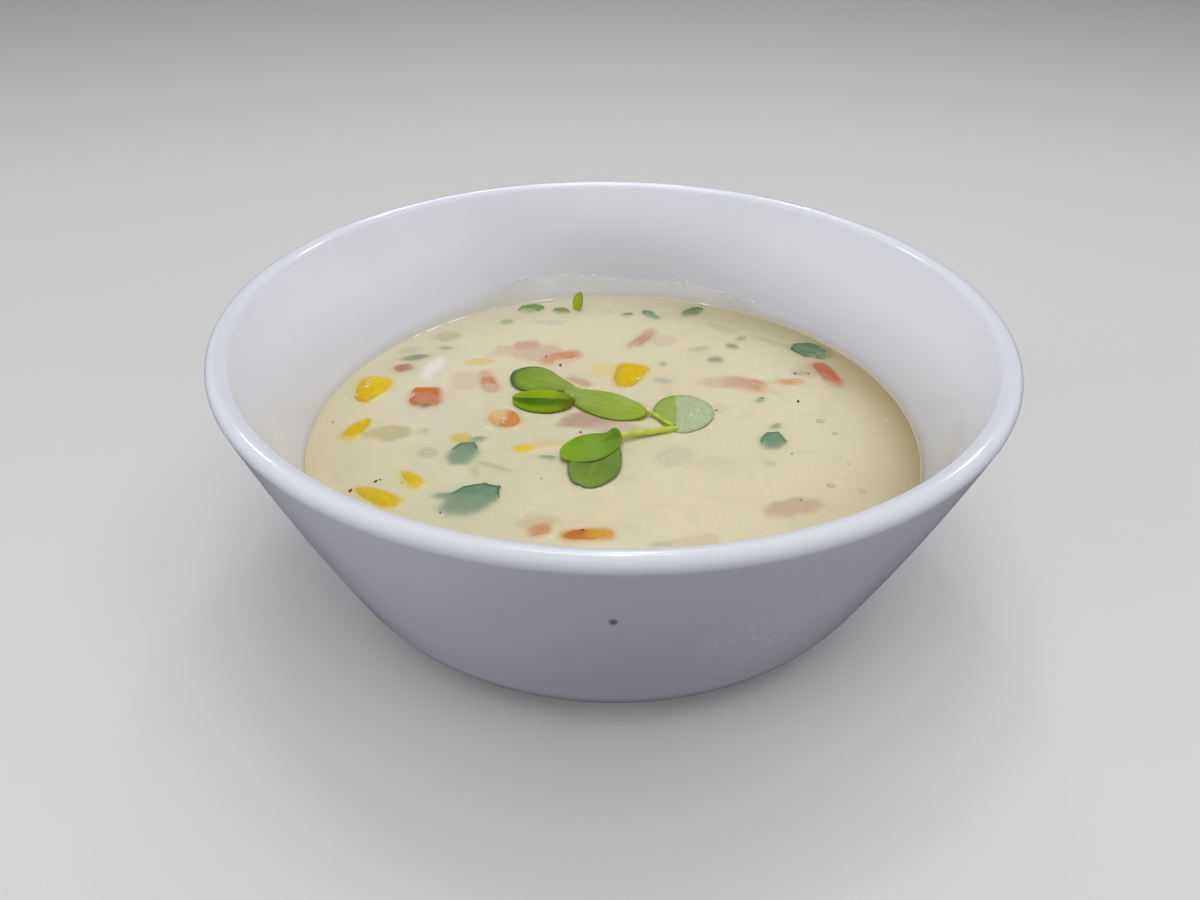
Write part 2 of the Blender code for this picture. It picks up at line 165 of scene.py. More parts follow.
def addNode(tree, kind, values=None, wires=None, **settings):
    # a node with its settings, the fixed values of its inputs, and what feeds its other inputs
    node = tree.nodes.new("ShaderNode" + kind)
    for setting, value in settings.items():
        setattr(node, setting, value)
    for socket, value in (values or {}).items():
        node.inputs[socket].default_value = value
    for socket, source in (wires or {}).items():
        tree.links.new(source, node.inputs[socket])
    return node


def groupWith(name, inputs, output, outputKind):
    group = bpy.data.node_groups.new(name, "ShaderNodeTree")
    for label, value in inputs.items():
        kind = "NodeSocketFloat" if isinstance(value, float) else "NodeSocketColor"
        socket = group.interface.new_socket(label, in_out="INPUT", socket_type=kind)
        socket.default_value = value
    group.interface.new_socket(output, in_out="OUTPUT", socket_type=outputKind)
    source = group.nodes.new("NodeGroupInput").outputs
    result = group.nodes.new("NodeGroupOutput").inputs[output]
    place = addNode(group, "TexCoord").outputs["Object"]
    return group, source, result, place


def addNoise(tree, place, detail, roughness, scale):
    # scale is a number, or an output that feeds it
    fixed = {"Detail": detail, "Roughness": roughness}
    wires = {"Vector": place}
    (fixed if isinstance(scale, float) else wires)["Scale"] = scale
    return addNode(tree, "TexNoise", fixed, wires).outputs["Fac"]


def makeUnevenTone():
    # lightens and darkens a colour in soft patches
    inputs = {"Colour": (0.8, 0.8, 0.8, 1.0), "Scale": 300.0, "Amount": 0.1}
    group, source, result, place = groupWith("unevenTone", inputs, "Colour", "NodeSocketColor")
    pattern = addNoise(group, place, 3.0, 0.6, source["Scale"])
    centred = addNode(group, "Math", {1: 2.0, 2: -1.0}, {0: pattern}, operation="MULTIPLY_ADD")
    wires = {0: centred.outputs[0], 1: source["Amount"]}
    strength = addNode(group, "Math", {2: 1.0}, wires, operation="MULTIPLY_ADD")
    wires = {0: source["Colour"], "Scale": strength.outputs[0]}
    scaled = addNode(group, "VectorMath", {}, wires, operation="SCALE")
    group.links.new(scaled.outputs[0], result)
    return group


def makeFineRelief():
    # a height that feeds a Bump node: broad unevenness with a finer one on top
    inputs = {"Scale": 300.0, "Finer": 4.0, "Share": 0.3}
    group, source, result, place = groupWith("fineRelief", inputs, "Height", "NodeSocketFloat")
    wires = {0: source["Scale"], 1: source["Finer"]}
    finerScale = addNode(group, "Math", {}, wires, operation="MULTIPLY").outputs[0]
    broad = addNoise(group, place, 2.0, 0.5, source["Scale"])
    fine = addNoise(group, place, 3.0, 0.6, finerScale)
    wires = {0: fine, 1: source["Share"], 2: broad}
    both = addNode(group, "Math", {}, wires, operation="MULTIPLY_ADD")
    group.links.new(both.outputs[0], result)
    return group


def makePatchyShine():
    # roughness that goes from one value to another in patches
    inputs = {"Scale": 200.0, "Smooth": 0.2, "Rough": 0.4}
    group, source, result, place = groupWith("patchyShine", inputs, "Roughness", "NodeSocketFloat")
    pattern = addNoise(group, place, 3.0, 0.55, source["Scale"])
    wires = {"Value": pattern, "To Min": source["Smooth"], "To Max": source["Rough"]}
    between = addNode(group, "MapRange", {"From Min": 0.35, "From Max": 0.65}, wires)
    group.links.new(between.outputs["Result"], result)
    return group


unevenTone = makeUnevenTone()
fineRelief = makeFineRelief()
patchyShine = makePatchyShine()


def makeFinish(name, shine, tone, relief, bump, distance, fixed, film=False):
    # shine is scale, smooth and rough; tone is scale and amount; relief is scale, finer and share;
    # bump and distance are the relief's strength and depth, and fixed holds plain shader values
    material = bpy.data.materials.new(name)
    material.use_nodes = True
    tree = material.node_tree
    shader = tree.nodes["Principled BSDF"]
    for socket, value in fixed.items():
        shader.inputs[socket].default_value = value
    layer = addNode(tree, "Attribute", attribute_name="tone")
    colour = addNode(tree, "Group", node_tree=unevenTone)
    height = addNode(tree, "Group", node_tree=fineRelief)
    roughness = addNode(tree, "Group", node_tree=patchyShine)
    for node, labels, values in (
        (colour, ("Scale", "Amount"), tone),
        (height, ("Scale", "Finer", "Share"), relief),
        (roughness, ("Scale", "Smooth", "Rough"), shine),
    ):
        for label, value in zip(labels, values):
            node.inputs[label].default_value = value
    tree.links.new(layer.outputs["Color"], colour.inputs["Colour"])
    bumpValues = {"Strength": bump, "Distance": distance}
    normal = addNode(tree, "Bump", bumpValues, {"Height": height.outputs["Height"]}).outputs["Normal"]
    tree.links.new(colour.outputs["Colour"], shader.inputs["Base Color"])
    tree.links.new(roughness.outputs["Roughness"], shader.inputs["Roughness"])
    tree.links.new(normal, shader.inputs["Normal"])
    tree.links.new(normal, shader.inputs["Coat Normal"])
    if film:
        tree.links.new(layer.outputs["Alpha"], shader.inputs["Alpha"])
    return material


# Camera, lights and floor

camera = {
    "place": (0.0, -173.07 * mm, 142.29 * mm),
    "turn": (55.764, -0.573, 1.154),
    "lens": 28.5,
}


def makeCamera():
    lens = bpy.data.cameras.new("photoView")
    lens.lens = camera["lens"]
    lens.sensor_width = 36.0
    lens.clip_start = 0.01
    eye = bpy.data.objects.new("photoView", lens)
    eye.location = camera["place"]
    eye.rotation_euler = [math.radians(angle) for angle in camera["turn"]]
    bpy.context.scene.collection.objects.link(eye)
    bpy.context.scene.camera = eye


# Lights: place, size, power, colour, and whether fill, gloss or both see them
studio = {
    "overhead": ((0.14, 0.0, 0.85), (0.90, 0.80), 2.84, (0.985, 0.99, 1.0), "fill"),
    "strip": ((-0.02, 0.12, 0.72), (0.26, 0.04), 0.5, (1.0, 0.99, 0.98), "both"),
    "sparkLeft": ((0.032, 0.395, 0.534), (0.020, 0.020), 0.16, (1.0, 1.0, 1.0), "both"),
    "sparkBackLeft": ((0.003, 0.400, 0.534), (0.006, 0.020), 0.02, (1.0, 1.0, 1.0), "both"),
    "sparkBackRight": ((-0.006, 0.400, 0.534), (0.005, 0.020), 0.02, (1.0, 1.0, 1.0), "both"),
    "sparkRight": ((-0.033, 0.395, 0.534), (0.006, 0.020), 0.03, (1.0, 1.0, 1.0), "both"),
    "sparkAbove": ((0.01, 0.16, 0.66), (0.03, 0.02), 0.19, (1.0, 1.0, 1.0), "gloss"),
    "backStrip": ((0.02, 0.50, 0.78), (0.30, 0.05), 0.3, (1.0, 1.0, 1.0), "gloss"),
    "leftPanel": ((-0.62, 0.45, 0.62), (0.12, 0.07), 0.7, (0.96, 0.98, 1.0), "gloss"),
    "rightPanel": ((0.58, 0.50, 0.62), (0.16, 0.07), 0.8, (0.97, 0.98, 1.0), "gloss"),
    "leftFill": ((-0.75, -0.25, 0.18), (0.50, 0.12), 2.85, (0.96, 0.96, 1.0), "fill"),
    "rightFill": ((0.75, -0.25, 0.20), (0.50, 0.16), 2.0, (0.97, 0.96, 1.0), "fill"),
    "frontFill": ((0.0, -0.48, 0.80), (0.60, 0.30), 1.45, (0.98, 0.98, 1.0), "fill"),
}
lightsAimAt = (0.0, 0.0, 0.04)
room = dict(colour=(0.95, 0.94, 1.0), strength=0.30)
floor = dict(size=4.0, tone=tint(214, 213, 211), bounce=tint(108, 107, 110), roughness=0.8, specular=0.1)


def makeLights():
    for name, (place, size, power, colour, seenBy) in studio.items():
        light = bpy.data.lights.new(name, "AREA")
        light.shape = "RECTANGLE"
        light.size, light.size_y = size
        light.energy = power
        light.color = colour
        thing = bpy.data.objects.new(name, light)
        thing.location = place
        aim = Vector(lightsAimAt) - Vector(place)
        thing.rotation_euler = aim.to_track_quat("-Z", "Y").to_euler()
        thing.visible_diffuse = seenBy != "gloss"
        thing.visible_glossy = seenBy != "fill"
        bpy.context.scene.collection.objects.link(thing)
    world = bpy.data.worlds.new("room")
    world.use_nodes = True
    sky = world.node_tree.nodes["Background"]
    sky.inputs["Color"].default_value = (*room["colour"], 1.0)
    sky.inputs["Strength"].default_value = room["strength"]
    bpy.context.scene.world = world
    bpy.context.scene.view_settings.view_transform = "Standard"


def makeFloor():
    half = floor["size"] / 2
    corners = [(-half, -half, 0), (half, -half, 0), (half, half, 0), (-half, half, 0)]
    mesh = bpy.data.meshes.new("floor")
    mesh.from_pydata(corners, [], [(0, 1, 2, 3)])
    material = bpy.data.materials.new("paleFloor")
    material.use_nodes = True
    tree = material.node_tree
    shader = tree.nodes["Principled BSDF"]
    shader.inputs["Roughness"].default_value = floor["roughness"]
    shader.inputs["Specular IOR Level"].default_value = floor["specular"]
    tones = {"A": (*floor["bounce"], 1.0), "B": (*floor["tone"], 1.0)}
    seen = addNode(tree, "LightPath").outputs["Is Camera Ray"]
    mixed = addNode(tree, "Mix", tones, {"Factor": seen}, data_type="RGBA")
    tree.links.new(mixed.outputs["Result"], shader.inputs["Base Color"])
    mesh.materials.append(material)
    ground = bpy.data.objects.new("floor", mesh)
    bpy.context.scene.collection.objects.link(ground)


makeCamera()
makeLights()
makeFloor()
print("camera, lights and floor ready")


# Bowl: a turned wall with a round lip, a round shoulder and a foot ring

bowlLow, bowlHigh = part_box("bowl")
bowl = {
    "rimRadius": 77.5 * mm,
    "rimHeight": bowlHigh.z,
    "lipThickness": 4.02 * mm,
    "footHeight": 2.0 * mm,
    "wallLean": math.radians(20.95),
    "wallBulge": 0.55 * mm,
    "shoulderRadius": 20.5 * mm,
    "innerLean": math.radians(19.26),
    "innerBulge": 0.4 * mm,
    "innerShoulderRadius": 17.2 * mm,
    "floorThickness": 3.6 * mm,
    "footRadius": 38.0 * mm,
    "footWidth": 3.2 * mm,
    "footEdge": 0.35 * mm,
    "footRecess": 1.7 * mm,
    "turns": 288,
    "glaze": tint(218, 220, 227),
    "chip": dict(place=(0.9, -73.0, 44.0), size=(0.60, 0.95), tone=tint(126, 122, 130)),
    # a paler patch of fine upright streaks on the outer wall, front right
    "paleStreaks": dict(
        place=(33.0, -62.0, 30.0), size=17.0, tone=tint(250, 250, 253), most=0.42,
        streakGrain=(1400.0, 1400.0, 260.0),
    ),
}


def arc(centre, radius, start, end, steps):
    angles = [start + (end - start) * i / steps for i in range(steps + 1)]
    return [(centre[0] + radius * math.cos(a), centre[1] + radius * math.sin(a)) for a in angles]


def wallAndShoulder(top, lean, bulge, radius, floorHeight, wallSteps, arcSteps):
    out = Vector((math.cos(lean), -math.sin(lean)))
    down = Vector((-math.sin(lean), -math.cos(lean)))
    start = Vector(top)
    length = (start.y + radius * math.sin(lean) - floorHeight - radius) / math.cos(lean)
    centre = start + down * length - out * radius
    shares = [i / wallSteps for i in range(wallSteps)]
    wall = [start + down * length * s + out * 4.0 * bulge * s * (1.0 - s) for s in shares]
    return [tuple(p) for p in wall] + arc(centre, radius, -lean, -math.pi / 2, arcSteps)


def bowlSides():
    half = bowl["lipThickness"] / 2
    x, z = bowl["rimRadius"] - half, bowl["rimHeight"] - half
    innerLean, outerLean = bowl["innerLean"], bowl["wallLean"]
    inTop = (x - half * math.cos(innerLean), z + half * math.sin(innerLean))
    outTop = (x + half * math.cos(outerLean), z - half * math.sin(outerLean))
    inFloor = bowl["footHeight"] + bowl["floorThickness"]
    innerCurve, outerCurve = bowl["innerShoulderRadius"], bowl["shoulderRadius"]
    inner = wallAndShoulder(inTop, innerLean, bowl["innerBulge"], innerCurve, inFloor, 40, 16)
    outer = wallAndShoulder(outTop, outerLean, bowl["wallBulge"], outerCurve, bowl["footHeight"], 40, 20)
    lip = arc((x, z), half, math.pi - innerLean, -outerLean, 22)
    return inner, lip, outer


innerSide, lipSide, outerSide = bowlSides()


def innerRadius(height):
    # how far the inner wall is from the axis at a height
    heights = [p[1] for p in reversed(innerSide)]
    radii = [p[0] for p in reversed(innerSide)]
    return float(np.interp(height, heights, radii))


def turnProfile(profile, turns):
    # profile runs from the axis round to the axis
    rings = profile[1:-1]
    corners = [(0.0, 0.0, profile[0][1])]
    for radius, height in rings:
        angles = [2 * math.pi * i / turns for i in range(turns)]
        corners += [(radius * math.cos(a), radius * math.sin(a), height) for a in angles]
    corners.append((0.0, 0.0, profile[-1][1]))
    last = len(corners) - 1
    faces = [(0, 1 + i, 1 + (i + 1) % turns) for i in range(turns)]
    for j in range(len(rings) - 1):
        low = 1 + j * turns
        for i in range(turns):
            after = (i + 1) % turns
            faces.append((low + i, low + turns + i, low + turns + after, low + after))
    low = 1 + (len(rings) - 1) * turns
    faces += [(low + i, last, low + (i + 1) % turns) for i in range(turns)]
    return corners, faces


def glazeFinish():
    glazeSkin = {"IOR": 1.5, "Coat Weight": 0.12, "Coat Roughness": 0.05}
    shine, tone, relief = (90.0, 0.10, 0.17), (55.0, 0.025), (60.0, 6.0, 0.10)
    material = makeFinish("whiteGlaze", shine, tone, relief, 0.10, 0.4 * mm, glazeSkin)
    tree = material.node_tree
    shader = tree.nodes["Principled BSDF"]
    base = shader.inputs["Base Color"].links[0].from_socket
    place = addNode(tree, "TexCoord").outputs["Object"]

    def nearMask(spot, spread, softness, stretch):
        # white close to a spot of the surface, with an uneven edge
        offset = [value * mm for value in spot]
        shrink = [1.0 / (spread * mm * side) for side in stretch]
        moved = addNode(tree, "VectorMath", {1: offset}, {0: place}, operation="SUBTRACT")
        scaled = addNode(tree, "VectorMath", {1: shrink}, {0: moved.outputs[0]}, operation="MULTIPLY")
        far = addNode(tree, "VectorMath", {}, {0: scaled.outputs[0]}, operation="LENGTH")
        wires = {0: far.outputs["Value"], 1: addNoise(tree, place, 2.0, 0.6, 2.5 / (spread * mm))}
        added = addNode(tree, "Math", {}, wires, operation="ADD")
        limits = {"From Min": 1.5 + softness, "From Max": 1.5 - softness}
        wires = {"Value": added.outputs[0]}
        return addNode(tree, "MapRange", limits, wires, interpolation_type="SMOOTHSTEP").outputs["Result"]

    def mixIn(mask, toneOver, under):
        wires = {"Factor": mask, "A": under}
        return addNode(tree, "Mix", {"B": (*toneOver, 1.0)}, wires, data_type="RGBA").outputs["Result"]

    chip, paleStreaks = bowl["chip"], bowl["paleStreaks"]
    chipWidth, chipHeight = chip["size"]
    chipMask = nearMask(chip["place"], chipWidth, 0.5, (1.0, 1.0, chipHeight / chipWidth))
    # a paler patch of fine upright streaks on the outer wall
    paleStreakArea = nearMask(paleStreaks["place"], paleStreaks["size"], 0.6, (1.0, 1.0, 0.7))
    stretched = addNode(tree, "VectorMath", {1: paleStreaks["streakGrain"]}, {0: place}, operation="MULTIPLY")
    streakGrain = addNode(tree, "TexNoise", {"Scale": 1.0, "Detail": 4.0}, {"Vector": stretched.outputs[0]})
    limits = {"From Min": 0.40, "From Max": 0.68, "To Max": paleStreaks["most"]}
    lines = addNode(tree, "MapRange", limits, {"Value": streakGrain.outputs["Fac"]})
    wires = {0: lines.outputs["Result"], 1: paleStreakArea}
    streakShare = addNode(tree, "Math", {}, wires, operation="MULTIPLY")
    streakedGlaze = mixIn(streakShare.outputs[0], paleStreaks["tone"], base)
    tree.links.new(mixIn(chipMask, chip["tone"], streakedGlaze), shader.inputs["Base Color"])
    return material


def makeBowl():
    foot, edge, recess = bowl["footRadius"], bowl["footEdge"], bowl["footRecess"]
    ringInside = foot - bowl["footWidth"]
    ring = arc((foot - edge, edge), edge, 0.0, -math.pi / 2, 4)
    ring += arc((ringInside + edge, edge), edge, -math.pi / 2, -math.pi, 4)
    ring += [(ringInside - edge, recess), (ringInside * 0.6, recess), (0.0, recess)]
    joint = [(foot + edge, bowl["footHeight"])]
    inner = list(reversed(innerSide))
    floorPoints = [(0.0, inner[0][1]), (inner[0][0] * 0.5, inner[0][1])]
    profile = floorPoints + inner[:-1] + lipSide + outerSide[1:] + joint + ring
    corners, faces = turnProfile(profile, bowl["turns"])
    shape = emptyShape()
    addShape(shape, corners, faces, bowl["glaze"])
    makePiece("bowlShell", shape, glazeFinish(), ["bowl"])


makeBowl()


# Soup: its level, slope and the pieces that lift or stain its surface

soup = {
    "level": bowl["rimHeight"] - 28.75 * mm,
    "slope": math.tan(math.radians(0.8)),
    "meniscusRise": 0.7 * mm,
    "meniscusLength": 1.6 * mm,
    "ripple": 0.12 * mm,
    "rippleLength": 14.0 * mm,
    "steps": 292,
    "clearDepth": 0.55 * mm,
    "wetRise": 0.50 * mm,
    "wetWidth": 0.7 * mm,
    "cream": tint(225, 216, 180),
    "shadeTone": tint(208, 201, 168),
    "paleTone": tint(232, 224, 194),
    "streakTone": tint(202, 198, 162),
    "haloWidth": 1.5 * mm,
    "haloShare": 0.22,
    "coverWidth": 0.45 * mm,
    "coverShare": 0.95,
    "softness": 0.30 * mm,
    "sideRings": 6,
    "intoWall": 0.12 * mm,
    "fromFloor": 0.1 * mm,
    "leafRise": 0.45,
    "leafReach": 1.1 * mm,
}

# What lies wholly under the surface: x, y, length, width, turn, rise, tone and how strongly it shows
sunkPieces = [
    dict(at=(x, y), size=(length, width), turn=turn, rise=rise, tone=tint(*tone), show=show)
    for x, y, length, width, turn, rise, tone, show in (
        (-46.8, -3.2, 12.5, 5.6, 4, 0.4, (186, 174, 128), 0.8),
        (-50.2, 34.2, 6.0, 3.4, 20, 0.0, (180, 172, 136), 0.6),
        (-41.8, 41.2, 8.5, 5.0, 26, 0.4, (178, 170, 138), 0.8),
        (12.7, -11.6, 11.0, 8.0, 15, 0.5, (198, 194, 164), 0.55),
        (34.5, -28.7, 13.0, 6.5, 20, 0.5, (200, 164, 142), 0.75),
        (28.0, 46.7, 9.0, 3.5, -35, 0.4, (188, 182, 148), 0.6),
        (-15.0, -7.6, 13.0, 3.4, 16, 0.35, (222, 203, 120), 0.7),
        (-16.5, 49.1, 7.0, 3.5, 0, 0.35, (190, 186, 160), 0.5),
        (23.4, 6.9, 6.0, 4.0, 40, 0.3, (198, 190, 168), 0.3),
        (-18.2, -8.9, 4.6, 2.6, 8, 0.0, (234, 200, 40), 0.95),
        (-31.9, 28.6, 8.0, 3.8, 4, 0.0, (218, 194, 92), 0.65),
        (-31.7, -4.6, 5.0, 4.2, 0, 0.0, (220, 184, 66), 0.8),
        (-21.8, 36.9, 8.5, 4.6, 6, 0.0, (204, 142, 122), 0.85),
        (-1.2, 25.0, 8.0, 7.0, 0, 0.0, (228, 208, 130), 0.7),
        (-19.5, 33.5, 22.0, 11.0, -12, 0.0, (208, 172, 152), 0.7),
        (-7.4, 19.2, 8.0, 3.2, -28, 0.0, (202, 150, 128), 0.7),
        (-5.6, 2.6, 12.5, 7.0, 12, 0.0, (186, 146, 132), 0.8),
        (1.0, -0.6, 17.0, 6.0, -6, 0.0, (202, 176, 156), 0.65),
        (-13.0, -32.8, 9.0, 5.0, 0, 0.0, (202, 176, 148), 0.5),
        (16.7, -38.3, 10.0, 3.4, 6, 0.0, (208, 184, 158), 0.55),
        (25.6, 19.5, 12.0, 6.0, -6, 0.0, (206, 176, 158), 0.55),
        (-34.6, 20.0, 7.0, 9.0, 10, 0.0, (206, 180, 160), 0.45),
        (13.2, 40.4, 9.0, 5.5, 30, 0.0, (206, 180, 158), 0.5),
        (46.3, 25.5, 7.0, 8.0, 0, 0.0, (200, 170, 148), 0.5),
        (11.6, 20.2, 5.0, 3.4, -20, 0.0, (160, 172, 148), 0.55),
        (-38.3, -10.4, 4.6, 4.0, 0, 0.0, (166, 176, 146), 0.55),
        (9.4, -39.4, 4.4, 1.5, 4, 0.0, (150, 162, 132), 0.55),
        (-23.6, -15.2, 9.0, 1.3, -24, 0.0, (170, 172, 124), 0.5),
        (-27.2, -17.0, 2.4, 4.6, 8, 0.0, (172, 184, 120), 0.5),
        (21.7, 35.9, 8.0, 2.6, 20, 0.0, (182, 180, 138), 0.6),
        (39.4, 40.0, 13.0, 2.2, -38, 0.0, (182, 178, 142), 0.55),
        (44.6, 24.0, 4.0, 2.0, 0, 0.0, (172, 160, 130), 0.5),
        (-42.9, 25.4, 4.6, 11.5, -18, 0.0, (234, 224, 214), 0.95),
        (-27.0, -20.6, 12.0, 8.0, 30, 0.0, (198, 206, 170), 0.3),
        (6.0, 9.6, 6.0, 1.6, -30, 0.0, (188, 174, 138), 0.35),
        (32.9, -13.4, 3.0, 2.0, 10, 0.0, (184, 178, 146), 0.55),
        (37.6, 14.2, 9.0, 1.4, -58, 0.0, (196, 178, 148), 0.3),
    )
]

# Broad soft patches: x, y, length, width, turn, tone and share. The darker ones near the edges
# are partly painted shade from the wall and partly a darker soup colour
broadPatches = [
    dict(at=(x, y), size=(length, width), turn=turn, tone=tint(*tone), show=show)
    for x, y, length, width, turn, tone, show in (
        (56.0, 26.0, 14.0, 30.0, 28, (190, 176, 146), 0.6),
        (26.0, 55.0, 60.0, 16.0, -26, (196, 188, 156), 0.7),
        (-20.0, 56.0, 56.0, 16.0, 20, (208, 202, 174), 0.65),
        (-52.0, 28.0, 14.0, 40.0, -38, (202, 195, 170), 0.7),
        (-56.0, -12.0, 15.0, 46.0, 12, (206, 194, 162), 0.75),
        (-40.0, 6.0, 26.0, 26.0, 0, (216, 206, 186), 0.6),
        (-30.0, -34.0, 36.0, 18.0, -34, (204, 200, 168), 0.6),
        (-24.0, -12.0, 26.0, 26.0, 0, (212, 212, 176), 0.55),
        (16.0, -26.0, 50.0, 26.0, 10, (229, 218, 180), 0.6),
        (30.0, 4.0, 34.0, 26.0, 0, (229, 219, 182), 0.6),
        (44.0, -30.0, 30.0, 12.0, 38, (216, 203, 168), 0.6),
    )
]

# Near the wall the soup is painted darker, partly as painted shade from the wall and partly as
# a darker soup colour there: where, how wide, how far in from the edge, tone and share
edgeShadeAndTint = [
    dict(toward=8.0, narrow=1.6, reach=9.5, tone=tint(158, 144, 102), show=0.95),
    dict(toward=184.0, narrow=2.0, reach=7.0, tone=tint(204, 193, 156), show=0.7),
    dict(toward=118.0, narrow=3.0, reach=4.0, tone=tint(214, 208, 182), show=0.5),
]


def patchDistance(points, patch, spread):
    # squared distance from the middle of a tilted ellipse: 0 there and 1 at its edge
    turn = math.radians(patch["turn"])
    dx = points[:, 0] - patch["at"][0] * mm
    dy = points[:, 1] - patch["at"][1] * mm
    along = (dx * math.cos(turn) + dy * math.sin(turn)) / (patch["size"][0] * mm * spread)
    across = (dy * math.cos(turn) - dx * math.sin(turn)) / (patch["size"][1] * mm * spread)
    return along**2 + across**2


def swell(points):
    points = np.atleast_2d(np.asarray(points, float))
    flat = np.column_stack((points[:, :2], np.zeros(len(points))))
    lift = soup["slope"] * points[:, 0] + soup["ripple"] * noiseAt(flat, soup["rippleLength"])
    for piece in sunkPieces:
        if piece["rise"]:
            lift = lift + piece["rise"] * mm * np.exp(-patchDistance(points, piece, 0.6))
    return lift


def soupAt(x, y):
    return soup["level"] + float(swell([(x, y)])[0])


def edgeOfSoup(angle):
    # radius and height where the soup meets the wall
    radius = bowl["rimRadius"] * 0.8
    for _ in range(6):
        height = soup["level"] + soup["meniscusRise"] + soup["slope"] * radius * math.cos(angle)
        radius = innerRadius(height)
    return radius, height


def aboveSoup(point):
    x, y, height = (value * mm for value in point)
    return Vector((x, y, soupAt(x, y) + height))


# Kernels, pepper and ham: place, length, width, thickness, turn and lean in degrees, lift of the centre,
# and the tones: the main one, one towards a side given in degrees, and where that side begins

kernels = {
    "corn_left_back": dict(
        at=(-55.2, 15.6), size=(13.0, 10.8, 5.0), turn=78, lean=5, lift=-0.9,
        tone=tint(232, 194, 4), side=tint(222, 182, 6), toward=200, begins=0.1,
    ),
    "corn_left": dict(
        at=(-54.9, -2.7), size=(10.4, 5.8, 4.6), turn=248, lean=9, lift=-1.0,
        tone=tint(216, 184, 0), side=tint(224, 194, 36), toward=60, begins=0.2,
    ),
    "corn_front_small": dict(
        at=(-39.4, -20.4), size=(8.2, 4.9, 4.4), turn=310, lean=7, lift=-1.1,
        tone=tint(232, 198, 0), side=tint(226, 192, 40), toward=120, begins=0.1,
    ),
    "corn_front": dict(
        at=(-44.9, -26.2), size=(12.6, 6.2, 4.8), turn=329, lean=3, lift=-1.0,
        tone=tint(222, 190, 40), side=tint(230, 192, 0), toward=-30, begins=0.2,
    ),
    "corn_back": dict(
        at=(4.2, 22.6), size=(12.6, 9.6, 5.0), turn=74, lean=4, lift=-1.1, square=0.68,
        tone=tint(236, 196, 0), side=tint(222, 184, 60), toward=170, begins=0.35,
    ),
}
chunks = {
    "pepper_left": dict(
        at=(-42.3, 11.8), size=(7.6, 9.0, 6.2), turn=4, lean=6, lift=-2.0, square=0.5,
        tone=tint(214, 108, 6), side=tint(206, 134, 102), toward=-95, begins=-0.05,
    ),
    "pepper_left_back": dict(
        at=(-49.9, 25.0), size=(5.0, 4.2, 4.0), turn=20, lean=6, lift=-1.3,
        tone=tint(184, 128, 98), side=tint(176, 148, 120), toward=30, begins=0.2,
    ),
    "ham_left": dict(
        at=(-28.7, 19.2), size=(12.0, 4.2, 4.0), turn=-72, lean=-4, lift=-1.4, bend=0.08,
        tone=tint(206, 136, 100), side=tint(216, 182, 154), toward=-80, begins=0.3,
    ),
    "ham_peach": dict(
        at=(-23.2, 2.3), size=(8.4, 7.2, 5.4), turn=-48, lean=4, lift=-1.0, square=0.95,
        tone=tint(240, 198, 138), side=tint(222, 152, 84), toward=-20, begins=0.1,
    ),
    "pepper_back": dict(
        at=(-12.4, 31.0), size=(11.0, 5.2, 4.0), turn=24, lean=-3, lift=-1.5,
        tone=tint(212, 146, 94), side=tint(208, 144, 112), toward=190, begins=0.2,
    ),
    "pepper_far": dict(
        at=(7.6, 41.0), size=(13.0, 3.8, 3.8), turn=58, lean=0, lift=-1.3, bend=0.1,
        tone=tint(204, 156, 132), side=tint(204, 170, 148), toward=60, begins=0.2,
    ),
    "ham_right": dict(
        at=(31.0, 18.5), size=(11.5, 7.0, 4.2), turn=-22, lean=-3, lift=-1.5,
        tone=tint(212, 172, 142), side=tint(212, 166, 126), toward=10, begins=0.3,
    ),
    "pepper_right": dict(
        at=(41.2, 19.6), size=(7.6, 3.2, 3.2), turn=8, lean=0, lift=-1.1,
        tone=tint(212, 164, 112), side=tint(214, 178, 134), toward=10, begins=0.3,
    ),
    "pepper_far_right": dict(
        at=(51.0, 23.2), size=(12.5, 4.6, 4.4), turn=-72, lean=3, lift=-1.3,
        tone=tint(192, 94, 58), side=tint(192, 132, 106), toward=190, begins=0.2,
    ),
    "pepper_front_left": dict(
        at=(-12.8, -35.8), size=(5.2, 4.0, 3.6), turn=30, lean=0, lift=-1.2,
        tone=tint(216, 156, 110), side=tint(212, 172, 136), toward=150, begins=0.2,
    ),
    "pepper_front": dict(
        at=(-3.8, -37.1), size=(10.6, 3.8, 3.6), turn=4, lean=0, lift=-1.1,
        tone=tint(206, 112, 20), side=tint(230, 168, 48), toward=0, begins=0.0,
    ),
}
lumps = {"segments": 52, "rings": 32, "unevenness": 0.10, "fine": 0.035, "fineSize": 0.16, "wetness": 0.90}
lumpForms = {
    "corn": dict(square=0.88, taper=0.42, dent=0.16),
    "chunk": dict(square=0.66, taper=0.08, dent=0.0),
}


